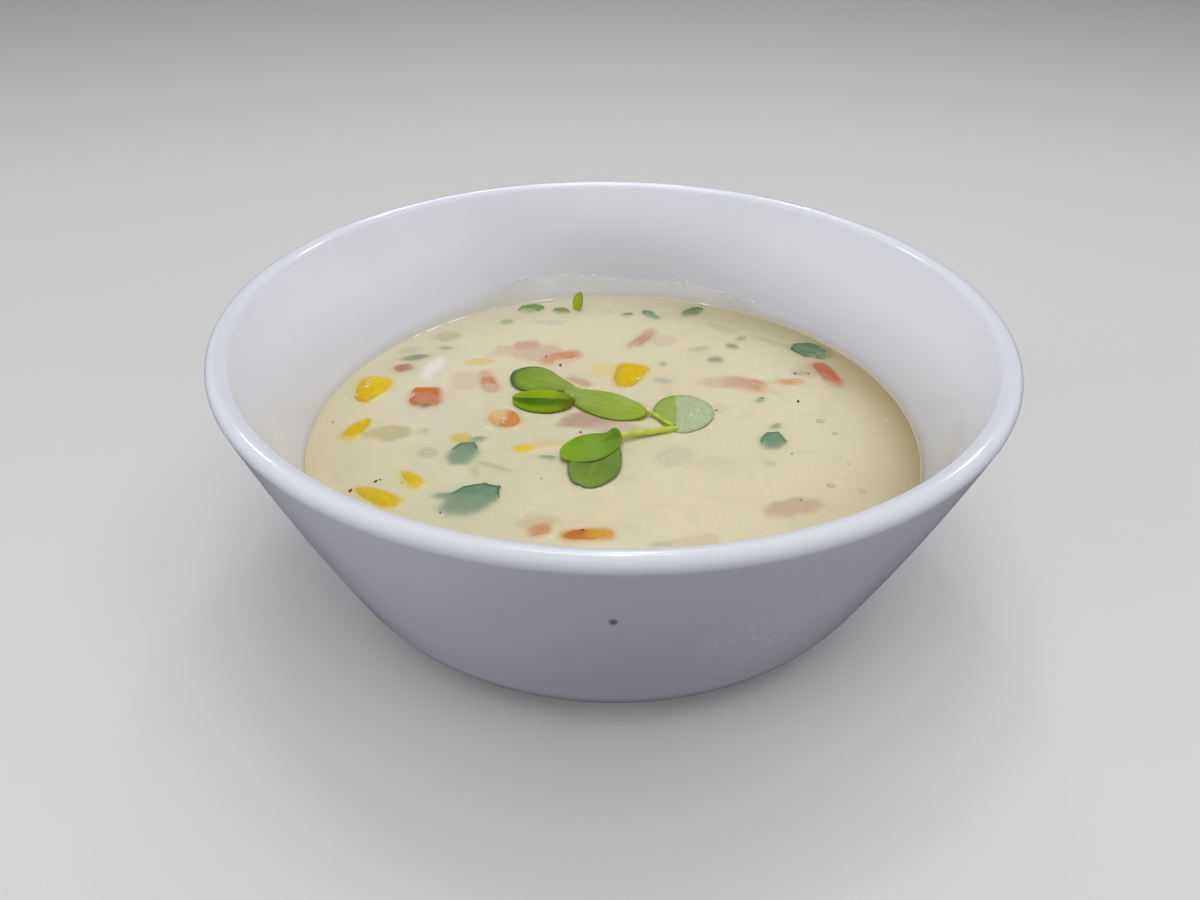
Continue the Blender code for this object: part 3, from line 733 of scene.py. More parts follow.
def lumpShape(piece, form):
    # corners in world places, and the faces between them
    ball, faces = unitBall(lumps["segments"], lumps["rings"])
    square = piece.get("square", form["square"])
    seed = Vector((piece["at"][0], piece["at"][1], 0.0))
    length, width, thickness = (side * mm / 2 for side in piece["size"])
    rounded = np.copysign(np.abs(ball) ** square, ball)
    x, y, z = rounded.T
    narrowing = 1.0 - form["taper"] * (1.0 - x) / 2
    broad = np.array([noise.noise(Vector(p) * 1.3 + seed) for p in rounded])
    fine = np.array([noise.noise(Vector(p) / lumps["fineSize"] + seed) for p in rounded])
    uneven = 1.0 + lumps["unevenness"] * broad + lumps["fine"] * fine
    x = x - form["dent"] * np.maximum(0.0, x) * (1.0 - y * y) * (1.0 - z * z)
    y = y * narrowing + piece.get("bend", 0.0) * length / width * (x * x - 0.5)
    local = np.column_stack((x * length, y * width, z * thickness * np.sqrt(narrowing))) * uneven[:, None]
    px, py = piece["at"][0] * mm, piece["at"][1] * mm
    place = Matrix.Translation((px, py, soupAt(px, py) + piece["lift"] * mm))
    place = place @ Matrix.Rotation(math.radians(piece["turn"]), 4, "Z")
    place = place @ Matrix.Rotation(math.radians(piece["lean"]), 4, "Y")
    corners = np.array([place @ Vector(p) for p in local])
    return corners, faces


lumpMeshes = {}
for pieceName, pieceFacts in {**kernels, **chunks}.items():
    pieceForm = lumpForms["corn" if pieceName in kernels else "chunk"]
    lumpMeshes[pieceName] = lumpShape(pieceFacts, pieceForm)
print("shaped", len(lumpMeshes), "kernels and chunks")


# Chopped herbs: x, y, length, width, turn, how many points the edge has, how high the far and near
# edges stand, and the tone of the body

herbs = [
    dict(at=(x, y), size=(length, width), turn=turn, points=points, far=far, near=near, body=body)
    for x, y, length, width, turn, points, far, near, body in (
        (-27.0, -26.6, 13.0, 8.2, 38, 9, 0.30, -0.40, "milky"),
        (-30.6, -10.8, 9.0, 5.6, 76, 6, 0.24, -0.40, "milky"),
        (-28.3, -5.4, 3.6, 2.0, 20, 4, -0.10, -0.30, "milky"),
        (-32.6, -25.3, 3.8, 1.8, 5, 4, -0.10, -0.35, "milky"),
        (34.3, -5.3, 6.8, 4.8, 70, 6, 0.32, -0.20, "milky"),
        (35.7, 0.5, 3.0, 1.6, 40, 4, -0.05, -0.40, "milky"),
        (49.0, 34.8, 10.5, 6.2, -28, 7, 0.38, 0.05, "darkMilky"),
        (21.0, 56.3, 6.6, 3.2, 35, 5, 0.35, -0.20, "darkMilky"),
        (10.0, 54.4, 6.4, 2.5, -50, 5, 0.15, -0.20, "milky"),
        (-22.0, 57.6, 6.8, 3.4, 10, 6, 0.6, -0.1, "freshMilky"),
        (-13.8, 56.6, 4.6, 2.6, -14, 4, 0.3, -0.2, "freshMilky"),
        (25.0, 30.2, 4.4, 1.7, 10, 4, -0.10, -0.25, "darkMilky"),
        (29.7, 37.1, 3.6, 1.7, -20, 4, -0.10, -0.25, "darkMilky"),
        (32.2, 41.3, 3.2, 1.6, 30, 4, -0.15, -0.35, "milky"),
        (-27.7, 49.9, 3.8, 1.8, 12, 4, -0.10, -0.35, "freshMilky"),
        (-41.3, 35.2, 3.4, 1.7, -10, 4, -0.05, -0.3, "freshMilky"),
        (-48.3, 30.2, 7.2, 2.6, 18, 5, -0.05, -0.3, "darkMilky"),
        (12.3, 28.1, 2.2, 1.4, 60, 3, -0.30, -0.5, "milky"),
        (-13.0, -12.0, 3.8, 1.4, -8, 4, 0.05, -0.35, "milky"),
        (33.4, 11.3, 3.4, 1.3, 50, 3, 0.0, -0.5, "milky"),
        (-41.6, 8.0, 2.8, 1.6, 40, 4, 0.1, -0.1, "darkMilky"),
        (3.6, 54.6, 3.4, 1.4, 4, 3, 0.15, -0.3, "milky"),
    )
]
herbTones = {
    "milky": tint(108, 142, 112),
    "darkMilky": tint(88, 112, 78),
    "deep": tint(66, 96, 48),
    "freshMilky": tint(124, 150, 74),
    "fresh": tint(104, 142, 44),
    "vein": tint(134, 162, 122),
    "clearDepth": 2.4 * mm,
}
herbForm = {
    "steps": 26,
    "lobes": 0.10,
    "ragged": 0.10,
    "pointed": 0.30,
    "lengthen": 1.06,
    "widen": 1.12,
    "crinkle": 0.16 * mm,
    "crinkleSize": 1.6 * mm,
}


def herbSheet(index, piece):
    # a thin leaf that leans: its far edge is out of the soup and its near edge is under it
    grid, faces = discGrid(herbForm["steps"])
    angle = np.arctan2(grid[:, 1], grid[:, 0])
    rho = np.hypot(grid[:, 0], grid[:, 1])
    lobes = herbForm["lobes"] * np.abs(np.sin(angle * piece["points"] / 2 + index)) ** 0.7
    ragged = herbForm["ragged"] * noiseAround(angle, 2.2, index * 1.7)
    reach = 1.0 - (lobes - ragged) * rho**2
    pointed = 1.0 - herbForm["pointed"] * rho**2 * np.abs(np.cos(angle)) ** 6
    length, width = (side * mm / 2 for side in piece["size"])
    x = grid[:, 0] * reach * length * herbForm["lengthen"]
    y = grid[:, 1] * reach * pointed * width * herbForm["widen"]
    turn = math.radians(piece["turn"])
    dx = x * math.cos(turn) - y * math.sin(turn)
    dy = x * math.sin(turn) + y * math.cos(turn)
    px, py = piece["at"][0] * mm + dx, piece["at"][1] * mm + dy
    share = (dy / max(np.abs(dy).max(), 1e-6) + 1.0) / 2
    flat = np.column_stack((px, py, np.zeros(len(px))))
    crinkle = herbForm["crinkle"] * noiseAt(flat, herbForm["crinkleSize"], index)
    height = (piece["near"] + (piece["far"] - piece["near"]) * share) * mm + crinkle
    corners = np.column_stack((px, py, soup["level"] + swell(flat) + height))
    rim = herbTones["fresh" if piece["body"] == "freshMilky" else "deep"]
    veins = np.exp(-((y / (0.10 * width)) ** 2)) * 0.5
    farRim = smooth(0.78, 0.97, rho) * smooth(0.45, 0.75, share + 0.1 * np.sin(angle * 9.0 + index))
    tones = mixTones(herbTones[piece["body"]], herbTones["vein"], veins)
    tones = mixTones(tones, rim, farRim)
    return corners, faces, tones


herbMeshes = [herbSheet(number, piece) for number, piece in enumerate(herbs)]
print("shaped", len(herbMeshes), "chopped herbs")


# The sprig: blades on stems. A path is base, middle and tip as x, y and height above the soup.
# far and near are how far each half folds up; tones run from base to tip.

sprigLeaves = {
    "upperLeft": dict(
        path=((-7.2, 13.6, 1.7), (-15.2, 16.25, 2.1), (-23.5, 21.5, 1.5)), width=8.2, far=13, near=-15,
        widest=0.70, curl=-0.4, tones=(tint(140, 164, 48), tint(136, 160, 50), tint(112, 140, 36)),
        edge=tint(112, 140, 40), tipEdge=tint(50, 76, 24), rimFrom=0.80, veins=0.6,
    ),
    "rightTop": dict(
        path=((-11.0, 13.4, 1.5), (-1.1, 6.0, 2.1), (8.0, 4.1, 1.4)), width=6.2, far=32, near=-32,
        widest=0.53, curl=-0.2, tones=(tint(148, 174, 84), tint(156, 180, 70), tint(158, 182, 52)),
        edge=tint(140, 160, 56), tipEdge=tint(146, 164, 48), rimFrom=0.90, veins=0.9,
    ),
    "rightUnder": dict(
        path=((-9.4, 10.3, 1.1), (-0.45, 5.3, 1.2), (8.0, 3.8, 0.9)), width=6.1, far=28, near=-34,
        widest=0.56, curl=-0.1, tones=(tint(134, 146, 24), tint(146, 152, 20), tint(152, 160, 30)),
        edge=tint(138, 146, 18), tipEdge=tint(146, 152, 26), rimFrom=0.9, veins=0.3,
    ),
    "right": dict(
        path=((9.4, 4.6, 0.6), (15.8, 4.8, 0.75), (22.4, 3.7, 0.6)), width=15.0, far=-1, near=-5,
        widest=0.5, blunt=0.5, curl=0.1, tones=(tint(148, 174, 64), tint(150, 174, 80), tint(156, 174, 100)),
        edge=tint(128, 154, 50), tipEdge=tint(140, 164, 76), rimFrom=0.86, veins=0.5,
        milk=tint(184, 196, 156), milkFrom=0.37,
    ),
    "frontTop": dict(
        path=((2.1, -7.35, 2.4), (-4.2, -11.3, 2.5), (-10.5, -11.7, 1.6)), width=7.5, far=14, near=-14,
        widest=0.54, blunt=0.46, curl=-0.25, tones=(tint(98, 138, 24), tint(112, 156, 8), tint(132, 172, 2)),
        edge=tint(116, 158, 40), tipEdge=tint(128, 166, 36), rimFrom=0.90, veins=0.35,
        notch=dict(angle=150, width=0.25, depth=0.08), raised=dict(angle=160, width=0.30, height=1.9),
    ),
    "frontUnder": dict(
        path=((0.38, -7.6, 1.6), (-3.0, -15.4, 0.9), (-4.3, -22.7, 0.4)), width=10.7, far=5, near=4,
        widest=0.54, blunt=0.46, curl=-0.2,
        tones=(tint(122, 148, 62), tint(104, 132, 36), tint(114, 148, 32)),
        edge=tint(88, 122, 28), tipEdge=tint(92, 126, 30), rimFrom=0.88, veins=0.5,
        notch=dict(angle=18, width=0.12, depth=0.06),
    ),
}
# one blade is folded along its middle into an open pocket: the ends, the crease and the two rims
pocket = {
    "ends": ((-8.3, 9.1, 1.2), (-22.25, 10.2, 1.0)),
    "crease": (-15.4, 5.1, 0.05),
    "farRim": (-15.3, 10.0, 3.2),
    "nearRim": (-15.1, 7.3, 2.7),
    "blunt": 0.45,
    "bulge": 0.5,
    "inside": tint(152, 180, 0),
    "outside": tint(138, 174, 8),
    "shade": tint(78, 116, 4),
    # the fold tone is a painted shadow along the crease, between the two halves
    "fold": tint(34, 60, 0),
    "base": tint(104, 104, 0),
}
# a bright tip that stands up against the far wall
upright = dict(
    path=((-9.7, 57.0, -0.8), (-9.4, 57.6, 1.6), (-8.6, 58.6, 4.6)), width=3.2, far=10, near=12,
    widest=0.62, curl=0.0, tones=(tint(128, 148, 60), tint(178, 196, 40), tint(164, 188, 30)),
    edge=tint(118, 144, 34), tipEdge=tint(108, 138, 30), rimFrom=0.84, veins=1.0,
)
sprig = {
    "steps": 64,
    "thickness": 0.26 * mm,
    "vein": tint(178, 198, 104),
    "sideVeins": 7.0,
    "edgeWave": 0.03,
    "waviness": 0.14 * mm,
    "patches": 0.07,
    "fibres": 0.13,
    # light flecks of froth on the milky blade, partly painted sparkle highlights on its bubbles
    "milkDrops": tint(228, 234, 214),
    "stemSides": 16,
    "stemSteps": 48,
    "stemTone": tint(204, 216, 92),
    "stemShade": tint(174, 192, 62),
    "stems": (
        dict(path=((-7.8, 13.9, 1.5), (-8.7, 12.0, 1.1), (-8.9, 10.0, 1.0)), radii=(0.5, 0.6, 0.5)),
        dict(
            path=((6.9, 4.7, 1.2), (9.3, 3.9, 0.85), (11.4, 1.5, 0.7), (13.6, -0.6, 0.6)),
            radii=(0.5, 0.45, 0.45, 0.5),
        ),
        dict(
            path=(
                (14.9, -0.5, 0.0), (13.0, -1.6, 0.6), (7.3, -3.75, 1.0), (2.65, -5.6, 1.6), (1.4, -8.0, 1.5),
            ),
            radii=(0.50, 0.66, 0.72, 0.72, 0.45),
        ),
    ),
}


def onPath(path, share):
    base, middle, tip = path
    control = middle * 2 - (base + tip) / 2
    share = share[:, None]
    return base * (1 - share) ** 2 + control * 2 * share * (1 - share) + tip * share**2


def pathSides(path, share):
    # unit vectors across a leaf's path: sideways and away from the soup
    base, middle, tip = path
    control = middle * 2 - (base + tip) / 2
    forward = (control - base) * (1 - share[:, None]) + (tip - control) * share[:, None]
    forward = forward / np.linalg.norm(forward, axis=1)[:, None]
    side = np.cross((0.0, 0.0, 1.0), forward)
    side = side / np.linalg.norm(side, axis=1)[:, None]
    side = side * np.where(side[:, 1:2] > 0, 1.0, -1.0)
    up = np.cross(forward, side)
    return side, up * np.where(up[:, 2:3] > 0, 1.0, -1.0)


def towardRim(theta, rho, facts):
    # 1 at the rim in one direction, falling off to both sides and towards the middle
    off = (theta - math.radians(facts["angle"]) + math.pi) % (2 * math.pi) - math.pi
    return np.exp(-((off / facts["width"]) ** 2)) * rho**3


def leafSheet(leaf, seed, steps):
    grid, faces = discGrid(steps)
    gx, gy = grid[:, 0] * 0.9999, grid[:, 1]
    rho, theta = np.hypot(gx, gy), np.arctan2(gy, gx)
    power = math.log(0.5) / math.log(leaf["widest"])
    halfWidth = np.maximum(np.sin(math.pi * ((gx + 1.0) / 2) ** power), 0.0) ** leaf.get("blunt", 0.55)
    reach = 1.0 + sprig["edgeWave"] * noiseAround(theta, 1.6, seed) * rho**2
    if "notch" in leaf:
        reach = reach - leaf["notch"]["depth"] * towardRim(theta, rho, leaf["notch"])
    along = (gx * reach + 1.0) / 2
    across = gy * halfWidth / np.sqrt(1.0 - gx**2) * reach
    path = [np.array(aboveSoup(point)) for point in leaf["path"]]
    side, up = pathSides(path, along)
    fold = np.radians(np.where(across > 0, leaf["far"], leaf["near"]))
    half = np.abs(across) * leaf["width"] * mm / 2
    lift = half * np.sin(fold) + leaf["curl"] * mm * rho**4
    lift = lift + sprig["waviness"] * noiseOver(along, across, 3.0, 2.0, seed + 4.0)
    if "raised" in leaf:
        lift = lift + leaf["raised"]["height"] * mm * towardRim(theta, rho, leaf["raised"])
    outward = side * (np.sign(across) * half * np.cos(fold))[:, None]
    corners = onPath(path, along) + outward + up * lift[:, None]
    return corners, faces, leafTones(leaf, along, across, rho, corners, seed)


def leafTones(leaf, along, across, rho, corners, seed):
    base, middle, tip = leaf["tones"]
    tones = mixTones(mixTones(base, middle, smooth(0.0, 0.5, along)), tip, smooth(0.55, 1.0, along))
    patches = noiseAt(corners, 2.6 * mm, seed)
    fibres = noiseOver(along, across, 2.5, 7.0, seed + 9.3)
    tones = tones * (1.0 + sprig["patches"] * patches + sprig["fibres"] * fibres)[:, None]
    slant = along * sprig["sideVeins"] - np.abs(across) * 2.2 + 0.25 * patches
    lines = np.abs((slant % 1.0) - 0.5) * 2
    sideVeins = np.exp(-((1.0 - lines) / 0.12) ** 2) * (1.0 - smooth(0.6, 0.95, rho))
    midrib = np.exp(-((across / 0.05) ** 2)) * (1.0 - 0.6 * along)
    shown = leaf["veins"] * (0.20 * sideVeins + 0.35 * midrib * smooth(0.0, 0.1, along))
    tones = mixTones(tones, sprig["vein"], shown)
    edgeTone = mixTones(leaf["edge"], leaf["tipEdge"], smooth(0.6, 0.9, along))
    tones = mixTones(tones, edgeTone, smooth(leaf["rimFrom"], 0.98, rho) * 0.85)
    if "milk" in leaf:
        wobble = 0.03 * noiseAt(corners, 3.0 * mm, seed + 2.0)
        covered = smooth(leaf["milkFrom"], leaf["milkFrom"] + 0.04, along + wobble)
        froth = noiseAt(corners, 0.7 * mm, seed) + 0.6 * noiseAt(corners, 0.35 * mm, seed + 5.0)
        covered = covered * (0.84 + 0.22 * froth) * (1.0 - 0.5 * smooth(0.86, 1.0, rho))
        tones = mixTones(tones, leaf["milk"], covered)
        # light flecks of froth, partly painted sparkle highlights on its bubbles
        tones = mixTones(tones, sprig["milkDrops"], smooth(0.4, 0.9, froth) * covered * 0.5)
    return tones


def pocketSheet(seed, steps):
    # from one end to the other, with a near and a far wall rising out of the crease
    grid, faces = discGrid(steps)
    gx, gy = grid[:, 0] * 0.9999, grid[:, 1]
    along = (gx + 1.0) / 2
    wall = gy / np.sqrt(1.0 - gx**2)
    first, last = [np.array(aboveSoup(end)) for end in pocket["ends"]]
    straight = first + (last - first) * along[:, None]
    bell = (np.sin(math.pi * along) ** pocket["blunt"])[:, None]
    curves = {}
    for part in ("crease", "farRim", "nearRim"):
        curves[part] = straight + (np.array(aboveSoup(pocket[part])) - (first + last) / 2) * bell
    rim = np.where((wall > 0)[:, None], curves["farRim"], curves["nearRim"])
    rise = np.abs(wall)[:, None]
    corners = curves["crease"] * (1.0 - rise) + rim * rise
    belly = 4.0 * np.abs(wall) * (1.0 - np.abs(wall)) * np.sin(math.pi * along)
    corners[:, 1] += np.sign(wall) * pocket["bulge"] * mm * belly
    patches = noiseAt(corners, 2.2 * mm, seed)
    corners[:, 1] += 0.10 * mm * patches
    near = mixTones(pocket["outside"], pocket["shade"], smooth(0.35, 0.75, -wall + 0.12 * patches))
    tones = np.where((wall > 0)[:, None], pocket["inside"], near)
    # a painted shadow along the crease
    creaseShadow = np.exp(-(((wall + 0.02) / 0.08) ** 2)) * np.sin(math.pi * along) ** 0.5
    tones = mixTones(tones, pocket["fold"], creaseShadow)
    tones = mixTones(tones, pocket["base"], (1.0 - smooth(0.04, 0.34, along + 0.05 * patches)) * 0.75)
    tones = tones * (1.0 + 0.10 * patches[:, None])
    return corners, faces, tones


def tube(points, radii, sides, steps):
    # a round tube along a smooth curve through the points
    knots = np.linspace(0.0, 1.0, len(points))
    shares = np.linspace(0.0, 1.0, steps)
    spots = np.array([tuple(p) for p in points])
    line = np.column_stack([catmullRom(knots, spots[:, k], shares) for k in range(3)])
    widths = np.interp(shares, knots, radii)
    corners = []
    for i in range(steps):
        forward = Vector(line[min(i + 1, steps - 1)] - line[max(i - 1, 0)]).normalized()
        side = forward.cross(Vector((0, 0, 1))).normalized()
        up = side.cross(forward)
        for j in range(sides):
            turn = 2 * math.pi * j / sides
            corners.append(Vector(line[i]) + (side * math.cos(turn) + up * math.sin(turn)) * widths[i])
    faces = []
    for i in range(steps - 1):
        for j in range(sides):
            after = (j + 1) % sides
            faces.append((i * sides + j, i * sides + after, (i + 1) * sides + after, (i + 1) * sides + j))
    faces.append(tuple(range(sides)))
    faces.append(tuple(reversed(range((steps - 1) * sides, steps * sides))))
    return np.array([tuple(c) for c in corners]), faces


def catmullRom(knots, values, shares):
    # a smooth curve through evenly spaced values
    extended = np.concatenate(([2 * values[0] - values[1]], values, [2 * values[-1] - values[-2]]))
    spans = len(values) - 1
    result = []
    for share in shares:
        span = min(int(share * spans), spans - 1)
        t = share * spans - span
        p0, p1, p2, p3 = extended[span:span + 4]
        result.append(
            p1 + 0.5 * t * (p2 - p0 + t * (2 * p0 - 5 * p1 + 4 * p2 - p3 + t * (3 * (p1 - p2) + p3 - p0)))
        )
    return np.array(result)


leafMeshes = {"lowerLeft": pocketSheet(3.1, sprig["steps"])}
for leafNumber, (leafName, leafFacts) in enumerate(sprigLeaves.items()):
    leafMeshes[leafName] = leafSheet(leafFacts, 3.1 * leafNumber, sprig["steps"])
print("shaped", len(leafMeshes), "blades of the sprig")


# The soup's body: a fine surface whose tones come from what lies under it

def blurOnGrid(values, side, steps):
    # softens values laid out on the square grid, by a bell curve that many steps wide
    reach = int(math.ceil(steps * 2.5))
    weights = np.exp(-0.5 * (np.arange(-reach, reach + 1) / steps) ** 2)
    weights = weights / weights.sum()
    field = values.reshape(side, side, -1)
    for axis in (0, 1):
        padded = np.pad(field, [(reach, reach) if k == axis else (0, 0) for k in range(3)], mode="edge")
        field = sum(w * np.take(padded, range(i, i + side), axis=axis) for i, w in enumerate(weights))
    return field.reshape(values.shape)


def depthOf(corners, faces, points, surface):
    # how deep the top of a shape lies under the surface at each point; far away where there is none
    tree = BVHTree.FromPolygons([Vector(c) for c in corners], faces)
    low, high = corners.min(0), corners.max(0)
    inside = np.all((points[:, :2] >= low[:2]) & (points[:, :2] <= high[:2]), axis=1)
    depth = np.full(len(points), 1.0)
    for i in np.nonzero(inside)[0]:
        hit = tree.ray_cast(Vector((points[i, 0], points[i, 1], high[2] + 0.01)), Vector((0, 0, -1)))[0]
        if hit is not None:
            depth[i] = surface[i] - hit.z
    return depth


def coverage(depth, clearDepth):
    return np.where(depth < 0.9, np.exp(-np.maximum(depth, 0.0) / clearDepth), 0.0)


def soupTones(points, surface, side, edgeGap):
    step = 2.0 * edgeOfSoup(0.0)[0] / (side - 1)
    flat = np.column_stack((points[:, :2], np.zeros(len(points))))
    tones = np.tile(soup["cream"], (len(points), 1))
    # broad patches; the darker ones near the edges are partly painted shade from the wall
    for patch in broadPatches:
        tones = mixTones(tones, patch["tone"], patch["show"] * np.exp(-patchDistance(points, patch, 0.62)))
    drift = noiseAt(flat, 9.0 * mm, 5.0) + 0.6 * noiseAt(flat, 3.5 * mm, 8.0)
    streaks = noiseAt(flat * np.array([1.0, 3.0, 1.0]), 8.0 * mm, 21.0)
    tones = mixTones(tones, soup["shadeTone"], smooth(0.15, 0.9, drift) * 0.35)
    tones = mixTones(tones, soup["paleTone"], smooth(0.15, 0.9, -drift) * 0.35)
    tones = mixTones(tones, soup["streakTone"], smooth(0.25, 0.8, streaks) * 0.25)
    ragged = 0.24 * noiseAt(flat, 1.6 * mm, 11.3) + 0.34 * noiseAt(flat, 3.4 * mm, 14.6)
    mottled = 1.0 - 0.22 * smooth(0.1, 0.7, noiseAt(flat, 1.2 * mm, 17.0))
    grain = 1.0 - 0.20 * smooth(0.0, 0.7, noiseAt(flat, 0.9 * mm, 33.0))
    for piece in sunkPieces:
        share = np.sqrt(patchDistance(points, piece, 0.5)) + ragged
        cover = (1.0 - smooth(0.62, 1.18, share)) * piece["show"]
        tones = mixTones(tones, piece["tone"], cover * mottled)
    masks = []
    for name, (corners, faces) in lumpMeshes.items():
        facts = kernels.get(name) or chunks[name]
        cover = coverage(depthOf(corners, faces, points, surface), soup["clearDepth"])
        masks.append((cover, mixTones(facts["tone"], facts["side"], 0.4)))
    for piece, (corners, faces, leafTone) in zip(herbs, herbMeshes):
        cover = coverage(depthOf(corners, faces, points, surface), herbTones["clearDepth"])
        masks.append((cover * grain, herbTones[piece["body"]]))
    for cover, tone in masks:
        if cover.max() <= 0.0:
            continue
        halo = blurOnGrid(cover, side, soup["haloWidth"] / step)
        tones = mixTones(tones, tone, halo * soup["haloShare"])
    for cover, tone in masks:
        cover = blurOnGrid(cover, side, soup["coverWidth"] / step)
        tones = mixTones(tones, tone, cover * soup["coverShare"])
    # painted shade near the wall, partly a darker soup colour along the edge
    azimuth = np.arctan2(points[:, 1], points[:, 0])
    for shade in edgeShadeAndTint:
        toward = np.maximum(np.cos(azimuth - math.radians(shade["toward"])), 0.0) ** shade["narrow"]
        falling = np.exp(-((np.maximum(edgeGap, 0.0) / (shade["reach"] * mm)) ** 1.4))
        tones = mixTones(tones, shade["tone"], shade["show"] * toward * falling)
    return blurOnGrid(tones, side, soup["softness"] / step)


def gridEdge(side):
    # the corners along the edge of the grid, in order
    last = side - 1
    order = list(range(side)) + [j * side + last for j in range(1, side)]
    order += [last * side + i for i in range(last - 1, -1, -1)]
    return order + [j * side for j in range(last - 1, 0, -1)]


def addSoupSides(corners, tones, faces, order):
    # the rim reaches just into the wall, and the sides follow the wall down to the floor
    bottom = innerSide[-1][1] + soup["fromFloor"]
    rings = soup["sideRings"]
    previous = list(range(len(corners), len(corners) + len(order)))
    corners += [corners[index] for index in order]
    tones += [tones[index] for index in order]
    for ring in range(1, rings + 1):
        current = []
        for index in order:
            x, y, z = corners[index]
            height = z + (bottom - z) * ring / rings
            reach = innerRadius(height) + (soup["intoWall"] if ring < rings else -2.0 * mm)
            scale = reach / math.hypot(x, y)
            current.append(len(corners))
            corners.append((x * scale, y * scale, height))
            tones.append(tones[index])
        count = len(current)
        for i in range(count):
            after = (i + 1) % count
            faces.append((previous[i], current[i], current[after], previous[after]))
        previous = current
    middle = len(corners)
    corners.append((0.0, 0.0, bottom))
    tones.append(tuple(soup["cream"]))
    faces += [(previous[i], middle, previous[(i + 1) % len(previous)]) for i in range(len(previous))]


def makeSoup():
    steps = soup["steps"]
    side = steps + 1
    grid, faces = discGrid(steps)
    rho, theta = np.hypot(grid[:, 0], grid[:, 1]), np.arctan2(grid[:, 1], grid[:, 0])
    angles = np.linspace(-math.pi, math.pi, 181)
    edges = np.array([edgeOfSoup(a) for a in angles])
    edgeRadius = np.interp(theta, angles, edges[:, 0])
    radius = rho * edgeRadius
    points = np.column_stack((radius * np.cos(theta), radius * np.sin(theta)))
    edgeGap = edgeRadius - radius
    surface = soup["level"] + swell(points)
    surface = surface + soup["meniscusRise"] * np.exp(-edgeGap / soup["meniscusLength"])
    step = 2.0 * edges[0, 0] / steps
    raised = np.zeros(len(points))
    for corners, lumpFaces in lumpMeshes.values():
        raised = np.maximum(raised, (depthOf(corners, lumpFaces, points, surface) < 0.0) * 1.0)
    resting = [leafMeshes[name][:2] for name in ("right", "frontUnder")]
    resting += [(corners, herbFaces) for corners, herbFaces, leafTone in herbMeshes]
    for corners, leafFaces in resting:
        near = np.abs(depthOf(corners, leafFaces, points, surface)) < soup["leafReach"]
        raised = np.maximum(raised, near * soup["leafRise"])
    surface = surface + soup["wetRise"] * blurOnGrid(raised, side, soup["wetWidth"] / step)
    tones = list(map(tuple, soupTones(points, surface, side, edgeGap)))
    corners = list(map(tuple, np.column_stack((points, surface))))
    addSoupSides(corners, tones, faces, gridEdge(side))
    shape = emptyShape()
    addShape(shape, corners, faces, tones)
    creamy = {
        "IOR": 1.38,
        "Specular IOR Level": 0.35,
        "Subsurface Weight": 0.20,
        "Subsurface Radius": (1.4, 1.1, 0.7),
        "Subsurface Scale": 0.8 * mm,
    }
    shine, tone, relief = (260.0, 0.24, 0.27), (1500.0, 0.05), (420.0, 5.0, 0.35)
    material = makeFinish("creamySoup", shine, tone, relief, 0.10, 0.25 * mm, creamy)
    makePiece("soupBody", shape, material, ["soup"])


makeSoup()


# The pieces in the soup take a film of it near the waterline

filmTones = {"depth": 0.22 * mm, "most": 0.26, "start": 0.25 * mm}


def filmed(corners, tones, filmTone):
    surface = soup["level"] + swell(corners)
    out = (corners[:, 2] - surface - filmTones["start"]) / filmTones["depth"]
    ragged = 0.5 * noiseAt(corners, 0.9 * mm, 41.0)
    return mixTones(tones, filmTone, filmTones["most"] * np.exp(-np.maximum(out + ragged, 0.0)))


wetFlesh = {
    "IOR": 1.42,
    "Subsurface Weight": 0.08,
    "Subsurface Radius": (1.0, 0.6, 0.3),
    "Subsurface Scale": 0.6 * mm,
    "Specular IOR Level": 0.04,
    "Coat Weight": 0.22,
    "Coat Roughness": 0.03,
}
# the finish of each kind: name, shine, tone, relief and the relief's strength
fleshFinishes = {
    "corn": ("kernelSkin", (500.0, 0.22, 0.4), (700.0, 0.12), (700.0, 3.0, 0.4), 0.35),
    "pepper": ("pepperFlesh", (500.0, 0.22, 0.4), (600.0, 0.14), (600.0, 4.0, 0.4), 0.30),
    "ham": ("hamMeat", (420.0, 0.26, 0.5), (900.0, 0.16), (800.0, 3.0, 0.6), 0.40),
}


def makeLumps():
    finishes = {kind: makeFinish(*facts, 0.3 * mm, wetFlesh) for kind, facts in fleshFinishes.items()}
    for name, (corners, faces) in lumpMeshes.items():
        facts = kernels.get(name) or chunks[name]
        kind = name.split("_")[0]
        toward = math.radians(facts["toward"])
        half = facts["size"][0] * mm / 2
        centre = np.array(facts["at"]) * mm
        begins = facts["begins"]
        share = ((corners[:, :2] - centre) @ np.array([math.cos(toward), math.sin(toward)])) / half
        share = share + 0.25 * noiseAt(corners, 1.5 * mm, 3.0)
        tones = mixTones(facts["tone"], facts["side"], smooth(begins - 0.3, begins + 0.3, share))
        tones = tones * (lumps["wetness"] + 0.10 * noiseAt(corners, 1.1 * mm, 7.0)[:, None])
        tones = filmed(corners, tones, soup["cream"] * 0.97)
        shape = emptyShape()
        addShape(shape, corners, faces, tones)
        makePiece(name + "_piece", shape, finishes[kind], [name])


makeLumps()


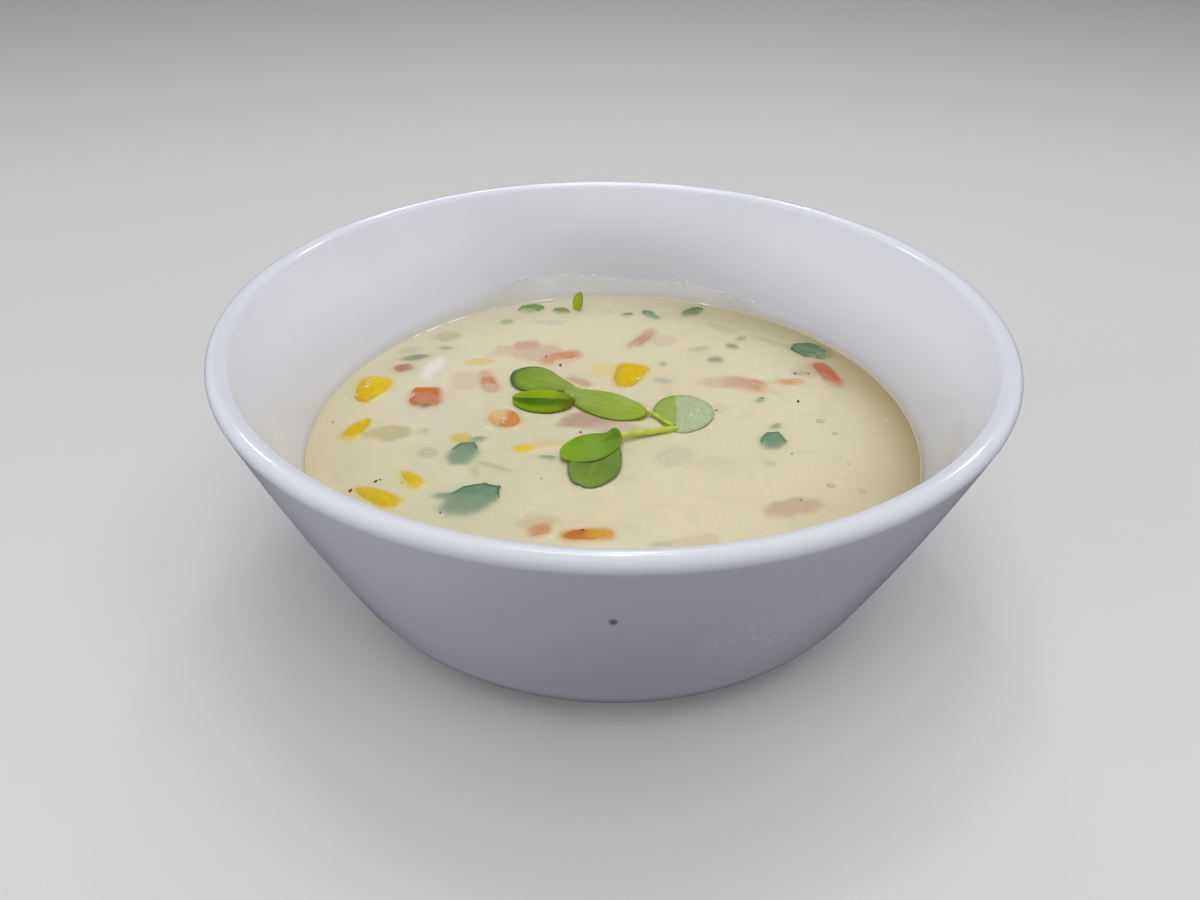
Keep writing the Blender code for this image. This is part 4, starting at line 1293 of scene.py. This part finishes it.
def makeGreens():
    shine, tone, relief = (300.0, 0.30, 0.46), (900.0, 0.10), (500.0, 4.0, 0.5)
    leafSkin = {"IOR": 1.42, "Specular IOR Level": 0.3}
    leafMaterial = makeFinish("freshLeaf", shine, tone, relief, 0.30, 0.25 * mm, leafSkin)
    shape = emptyShape()
    for corners, faces, tones in leafMeshes.values():
        addShape(shape, corners, faces, tones)
    blades = makePiece("sprigBlades", shape, leafMaterial, ["sprig"])
    thicken(blades, sprig["thickness"])
    shape = emptyShape()
    for stemFacts in sprig["stems"]:
        points = [aboveSoup(point) for point in stemFacts["path"]]
        radii = [radius * mm for radius in stemFacts["radii"]]
        corners, faces = tube(points, radii, sprig["stemSides"], sprig["stemSteps"])
        patches = noiseAt(corners, 2.0 * mm, 9.0)
        tones = mixTones(sprig["stemTone"], sprig["stemShade"], smooth(-0.4, 0.6, patches))
        addShape(shape, corners, faces, tones)
    makePiece("sprigStems", shape, leafMaterial, ["sprig"])
    shape = emptyShape()
    for corners, faces, tones in herbMeshes:
        addShape(shape, corners, faces, filmed(corners, tones, herbTones["milky"]))
    corners, faces, tones = leafSheet(upright, 71.0, 30)
    addShape(shape, corners, faces, filmed(corners, tones, soup["cream"]))
    flecks = makePiece("herbFlecks", shape, leafMaterial, ["soup"])
    thicken(flecks, sprig["thickness"])


makeGreens()


# Small things on the soup: pepper specks, bubbles, and white beads of froth painted as sparkle highlights

specks = {
    "tone": tint(84, 64, 48),
    "spots": (
        (42.1, 11.1, 0.40), (43.3, 23.8, 0.28), (46.4, 23.8, 0.24), (37.6, -10.0, 0.18), (23.3, 6.6, 0.24),
        (-51.0, -24.0, 0.42), (-46.7, -20.8, 0.34), (-45.9, -20.3, 0.20), (-41.4, -21.2, 0.18),
        (-32.2, -30.7, 0.24), (-16.1, 31.2, 0.38), (-12.4, 27.0, 0.38), (-13.7, -19.4, 0.15),
        (-6.5, -2.3, 0.30), (-60.8, 0.9, 0.22), (-4.8, -36.4, 0.2), (36.9, -26.2, 0.16),
    ),
}
bubbles = {
    "domes": (
        (45.7, 2.9, 1.0), (48.0, -2.1, 0.7), (43.7, -20.8, 0.9), (49.7, -22.5, 0.8), (60.2, 3.8, 0.6),
        (48.7, -13.3, 0.4), (-59.9, 10.8, 0.5), (-57.9, 11.7, 0.45),
    ),
    "foamGlints": (
        (21.1, -1.0), (21.2, -2.9), (21.1, 1.0), (20.4, -1.8), (22.1, 6.4), (21.8, -0.2), (20.1, -3.3),
        (19.4, -2.6), (21.6, 3.6), (18.6, -1.2), (11.9, -11.7), (12.7, -12.4), (13.4, -11.3), (10.8, -12.8),
        (-25.7, -1.3), (-24.6, -1.9), (-22.8, -2.0), (-26.6, -0.4), (-27.9, 13.9), (-26.4, 13.0),
        (-28.7, 14.8), (6.9, 20.3), (7.6, 21.2), (8.7, 23.4), (6.2, 19.4), (-55.4, 15.4), (-56.0, 14.4),
        (-60.6, 10.9), (-58.4, 11.2), (-23.4, 0.2), (-20.6, -1.0), (-44.9, 11.4),
    ),
    "glintBallsEach": 5,
    "glintBallRadius": 0.17,
    "clear": tint(204, 195, 150),
    "edge": tint(182, 172, 128),
    "white": tint(248, 249, 240),
}


def highestAt(x, y):
    # the top of whatever lies at x, y: soup, kernel, chunk or blade
    best = soupAt(x, y)
    shapes = list(lumpMeshes.values()) + [(corners, faces) for corners, faces, tones in leafMeshes.values()]
    for corners, faces in shapes:
        low, high = corners.min(0), corners.max(0)
        if low[0] <= x <= high[0] and low[1] <= y <= high[1]:
            depth = depthOf(corners, faces, np.array([[x, y]]), np.array([best]))[0]
            if depth < 0.0:
                best -= depth
    return best


def addBall(shape, segments, rings, sizes, spot, tones):
    ball, faces = unitBall(segments, rings)
    addShape(shape, ball * np.array(sizes) * mm + spot, faces, tones)


def makeSpecks():
    shape = emptyShape()
    for x, y, size in specks["spots"]:
        ball, faces = unitBall(9, 6)
        rough = 1.0 + 0.35 * np.array([noise.noise(Vector(p) * 1.4 + Vector((x, y, 0))) for p in ball])
        turn = random.uniform(0.0, math.pi)
        flat = ball * rough[:, None] * np.array([1.25, 0.75, 0.55]) * size * mm
        dx = flat[:, 0] * math.cos(turn) - flat[:, 1] * math.sin(turn)
        dy = flat[:, 0] * math.sin(turn) + flat[:, 1] * math.cos(turn)
        top = highestAt(x * mm, y * mm) + 0.12 * mm
        corners = np.column_stack((x * mm + dx, y * mm + dy, top + flat[:, 2]))
        addShape(shape, corners, faces, specks["tone"])
    shine, tone, relief = (900.0, 0.5, 0.8), (3000.0, 0.35), (2500.0, 3.0, 0.5)
    peppery = makeFinish("groundPepper", shine, tone, relief, 0.5, 0.2 * mm, {"IOR": 1.45})
    makePiece("pepperSpecks", shape, peppery)


def makeBubbles():
    shape = emptyShape()
    for x, y, size in bubbles["domes"]:
        ball, faces = unitBall(20, 12)
        spot = np.array([x * mm, y * mm, highestAt(x * mm, y * mm)])
        dome = ball * np.array([size, size * 0.9, size * 0.14]) * mm + spot
        edge = smooth(0.55, 0.95, np.hypot(ball[:, 0], ball[:, 1]))
        addShape(shape, dome, faces, mixTones(bubbles["clear"], bubbles["edge"], edge * 0.7))
    # white beads near the pieces are painted highlights: they stand for sparkles of light on small beads of
    # froth
    for x, y in bubbles["foamGlints"]:
        for _ in range(bubbles["glintBallsEach"]):
            size = bubbles["glintBallRadius"] * random.uniform(0.5, 1.2)
            px, py = (x + random.gauss(0.0, 0.40)) * mm, (y + random.gauss(0.0, 0.35)) * mm
            spot = np.array([px, py, highestAt(px, py) + 0.06 * mm])
            addBall(shape, 10, 7, (size, size, size * 0.45), spot, bubbles["white"])
    shine, tone, relief = (900.0, 0.05, 0.12), (2000.0, 0.06), (1500.0, 3.0, 0.3)
    wetSkin = {"IOR": 1.4, "Coat Weight": 0.6, "Coat Roughness": 0.03}
    frothy = makeFinish("wetFroth", shine, tone, relief, 0.05, 0.1 * mm, wetSkin)
    makePiece("bubbles", shape, frothy)


random.seed(12)
makeSpecks()
makeBubbles()


# A thin film of soup clings to the wall above the edge, highest at the back

wallFilm = {
    "tops": (
        (-180, 2.6), (-120, 2.2), (-60, 2.2), (0, 2.6), (54, 3.0), (64, 3.6), (70, 5.0), (84, 4.6), (93, 5.4),
        (102, 6.6), (117, 5.6), (130, 4.8), (144, 3.6), (161, 3.0), (180, 2.6),
    ),
    "columns": 900,
    "rows": 24,
    "thickness": 0.16 * mm,
    "under": 0.4 * mm,
    "firmFrom": (54.0, 68.0),
    "firmTo": (104.0, 126.0),
    "firmCover": 0.66,
    "footHeight": 1.3 * mm,
    "fillet": 0.30 * mm,
    "filletHeight": 0.45 * mm,
    # tone and foot are painted lighter than the film's own colour, as painted light on the low wall that the
    # bowl shades
    "tone": tint(252, 251, 248),
    "foot": tint(234, 228, 204),
    # glints and glint beads are painted highlights: white dashes at the soup's edge and white beads along the
    # film's top
    "glints": ((139.3, 141.4), (133.6, 138.0), (126.4, 132.2), (104.0, 110.5), (66.5, 69.0)),
    "glintRadius": 0.26 * mm,
    "glintTone": tint(255, 255, 252),
    "glintBeads": (113, 110, 104, 101, 97.5, 93, 88, 81, 76, 68, 65.5, 64, 61.5, 72, 56, 52),
}


def filmTop(angle):
    # height of the film above the soup's edge, with a wavy outline
    degrees, heights = zip(*wallFilm["tops"])
    height = np.interp(math.degrees(angle), degrees, heights)
    wave = noiseAround([angle], 14.0, 2.0)[0]
    fine = noiseAround([angle], 45.0, 6.0)[0]
    return max(height * (1.0 + 0.10 * wave + 0.05 * fine), 0.8) * mm


def onWall(angle, height, proud):
    radius = innerRadius(height) - proud
    return (radius * math.cos(angle), radius * math.sin(angle), height)


def filmColumn(angle):
    # corners and tones of the film from below the soup's edge up to its top
    rows = wallFilm["rows"]
    degrees = math.degrees(angle)
    low = edgeOfSoup(angle)[1] - wallFilm["under"]
    top = filmTop(angle) + wallFilm["under"]
    firmEnd, firmStop = wallFilm["firmTo"]
    firm = float(smooth(firmStop, firmEnd, degrees) * smooth(*wallFilm["firmFrom"], degrees))
    corners, tones = [], []
    for j in range(rows + 1):
        share = j / rows
        height = low + top * share
        proud = wallFilm["thickness"] * (1.0 - share ** (1.0 + 5.0 * firm))
        proud += wallFilm["fillet"] * math.exp(-(height - low) / wallFilm["filletHeight"])
        if j == rows:
            proud -= 0.05 * mm
        corners.append(onWall(angle, height, proud))
        fade = (1.0 - share) ** (1.1 + 1.8 * (1.0 - firm))
        inside = float(smooth(0.0, 0.25, share)) * float(smooth(1.0, 0.88, share))
        cover = fade + (wallFilm["firmCover"] - fade) * firm * inside
        nearFoot = math.exp(-(((height - low) / wallFilm["footHeight"]) ** 2))
        # tone and foot carry painted light for the shaded low wall
        warm = mixTones(wallFilm["tone"], wallFilm["foot"], nearFoot + (1.0 - nearFoot) * (1.0 - firm))
        tones.append((*warm, min(max(cover, 0.0), 1.0) if j < rows else 0.0))
    return corners, tones


def makeWallFilm():
    shape = emptyShape()
    columns, row = wallFilm["columns"], wallFilm["rows"] + 1
    corners, tones, faces = [], [], []
    for i in range(columns):
        columnCorners, columnTones = filmColumn(2 * math.pi * i / columns - math.pi)
        corners += columnCorners
        tones += columnTones
        low, after = i * row, (i + 1) % columns * row
        faces += [(low + j, after + j, after + j + 1, low + j + 1) for j in range(row - 1)]
    addShape(shape, corners, faces, tones)
    shine, tone, relief = (300.0, 0.05, 0.12), (400.0, 0.04), (500.0, 3.0, 0.3)
    material = makeFinish("thinFilm", shine, tone, relief, 0.2, 0.2 * mm, {"IOR": 1.38}, film=True)
    makePiece("wallFilm", shape, material)


def makeFilmGlints():
    # painted highlights: white beads of soup along the film's top and white dashes along the soup's edge
    shape = emptyShape()
    random.seed(5)
    for degrees in wallFilm["glintBeads"]:
        for _ in range(2):
            angle = math.radians(degrees + random.gauss(0.0, 0.8))
            height = edgeOfSoup(angle)[1] + filmTop(angle) * random.uniform(0.90, 1.03)
            size = random.uniform(0.12, 0.24)
            spot = np.array(onWall(angle, height, 0.06 * mm))
            addBall(shape, 10, 7, (size * 1.7, size, size * 0.8), spot, bubbles["white"])
    for first, last in wallFilm["glints"]:
        line = []
        for degrees in np.linspace(first, last, 9):
            angle = math.radians(degrees)
            proud = (0.42 + 0.05 * noise.noise((degrees, 0.3, 0.7))) * mm
            line.append(onWall(angle, edgeOfSoup(angle)[1] + 0.02 * mm, proud))
        widths = [wallFilm["glintRadius"] * share for share in (0.2, 0.8, 1.0, 0.85, 1.0, 0.9, 1.0, 0.8, 0.2)]
        corners, faces = tube(line, widths, 8, 40)
        addShape(shape, corners, faces, wallFilm["glintTone"])
    shine, tone, relief = (900.0, 0.03, 0.10), (2000.0, 0.05), (1500.0, 3.0, 0.3)
    clear = {"IOR": 1.4, "Coat Weight": 1.0}
    glintFinish = makeFinish("glintBeadFinish", shine, tone, relief, 0.03, 0.1 * mm, clear)
    makePiece("filmGlints", shape, glintFinish)


makeWallFilm()
makeFilmGlints()
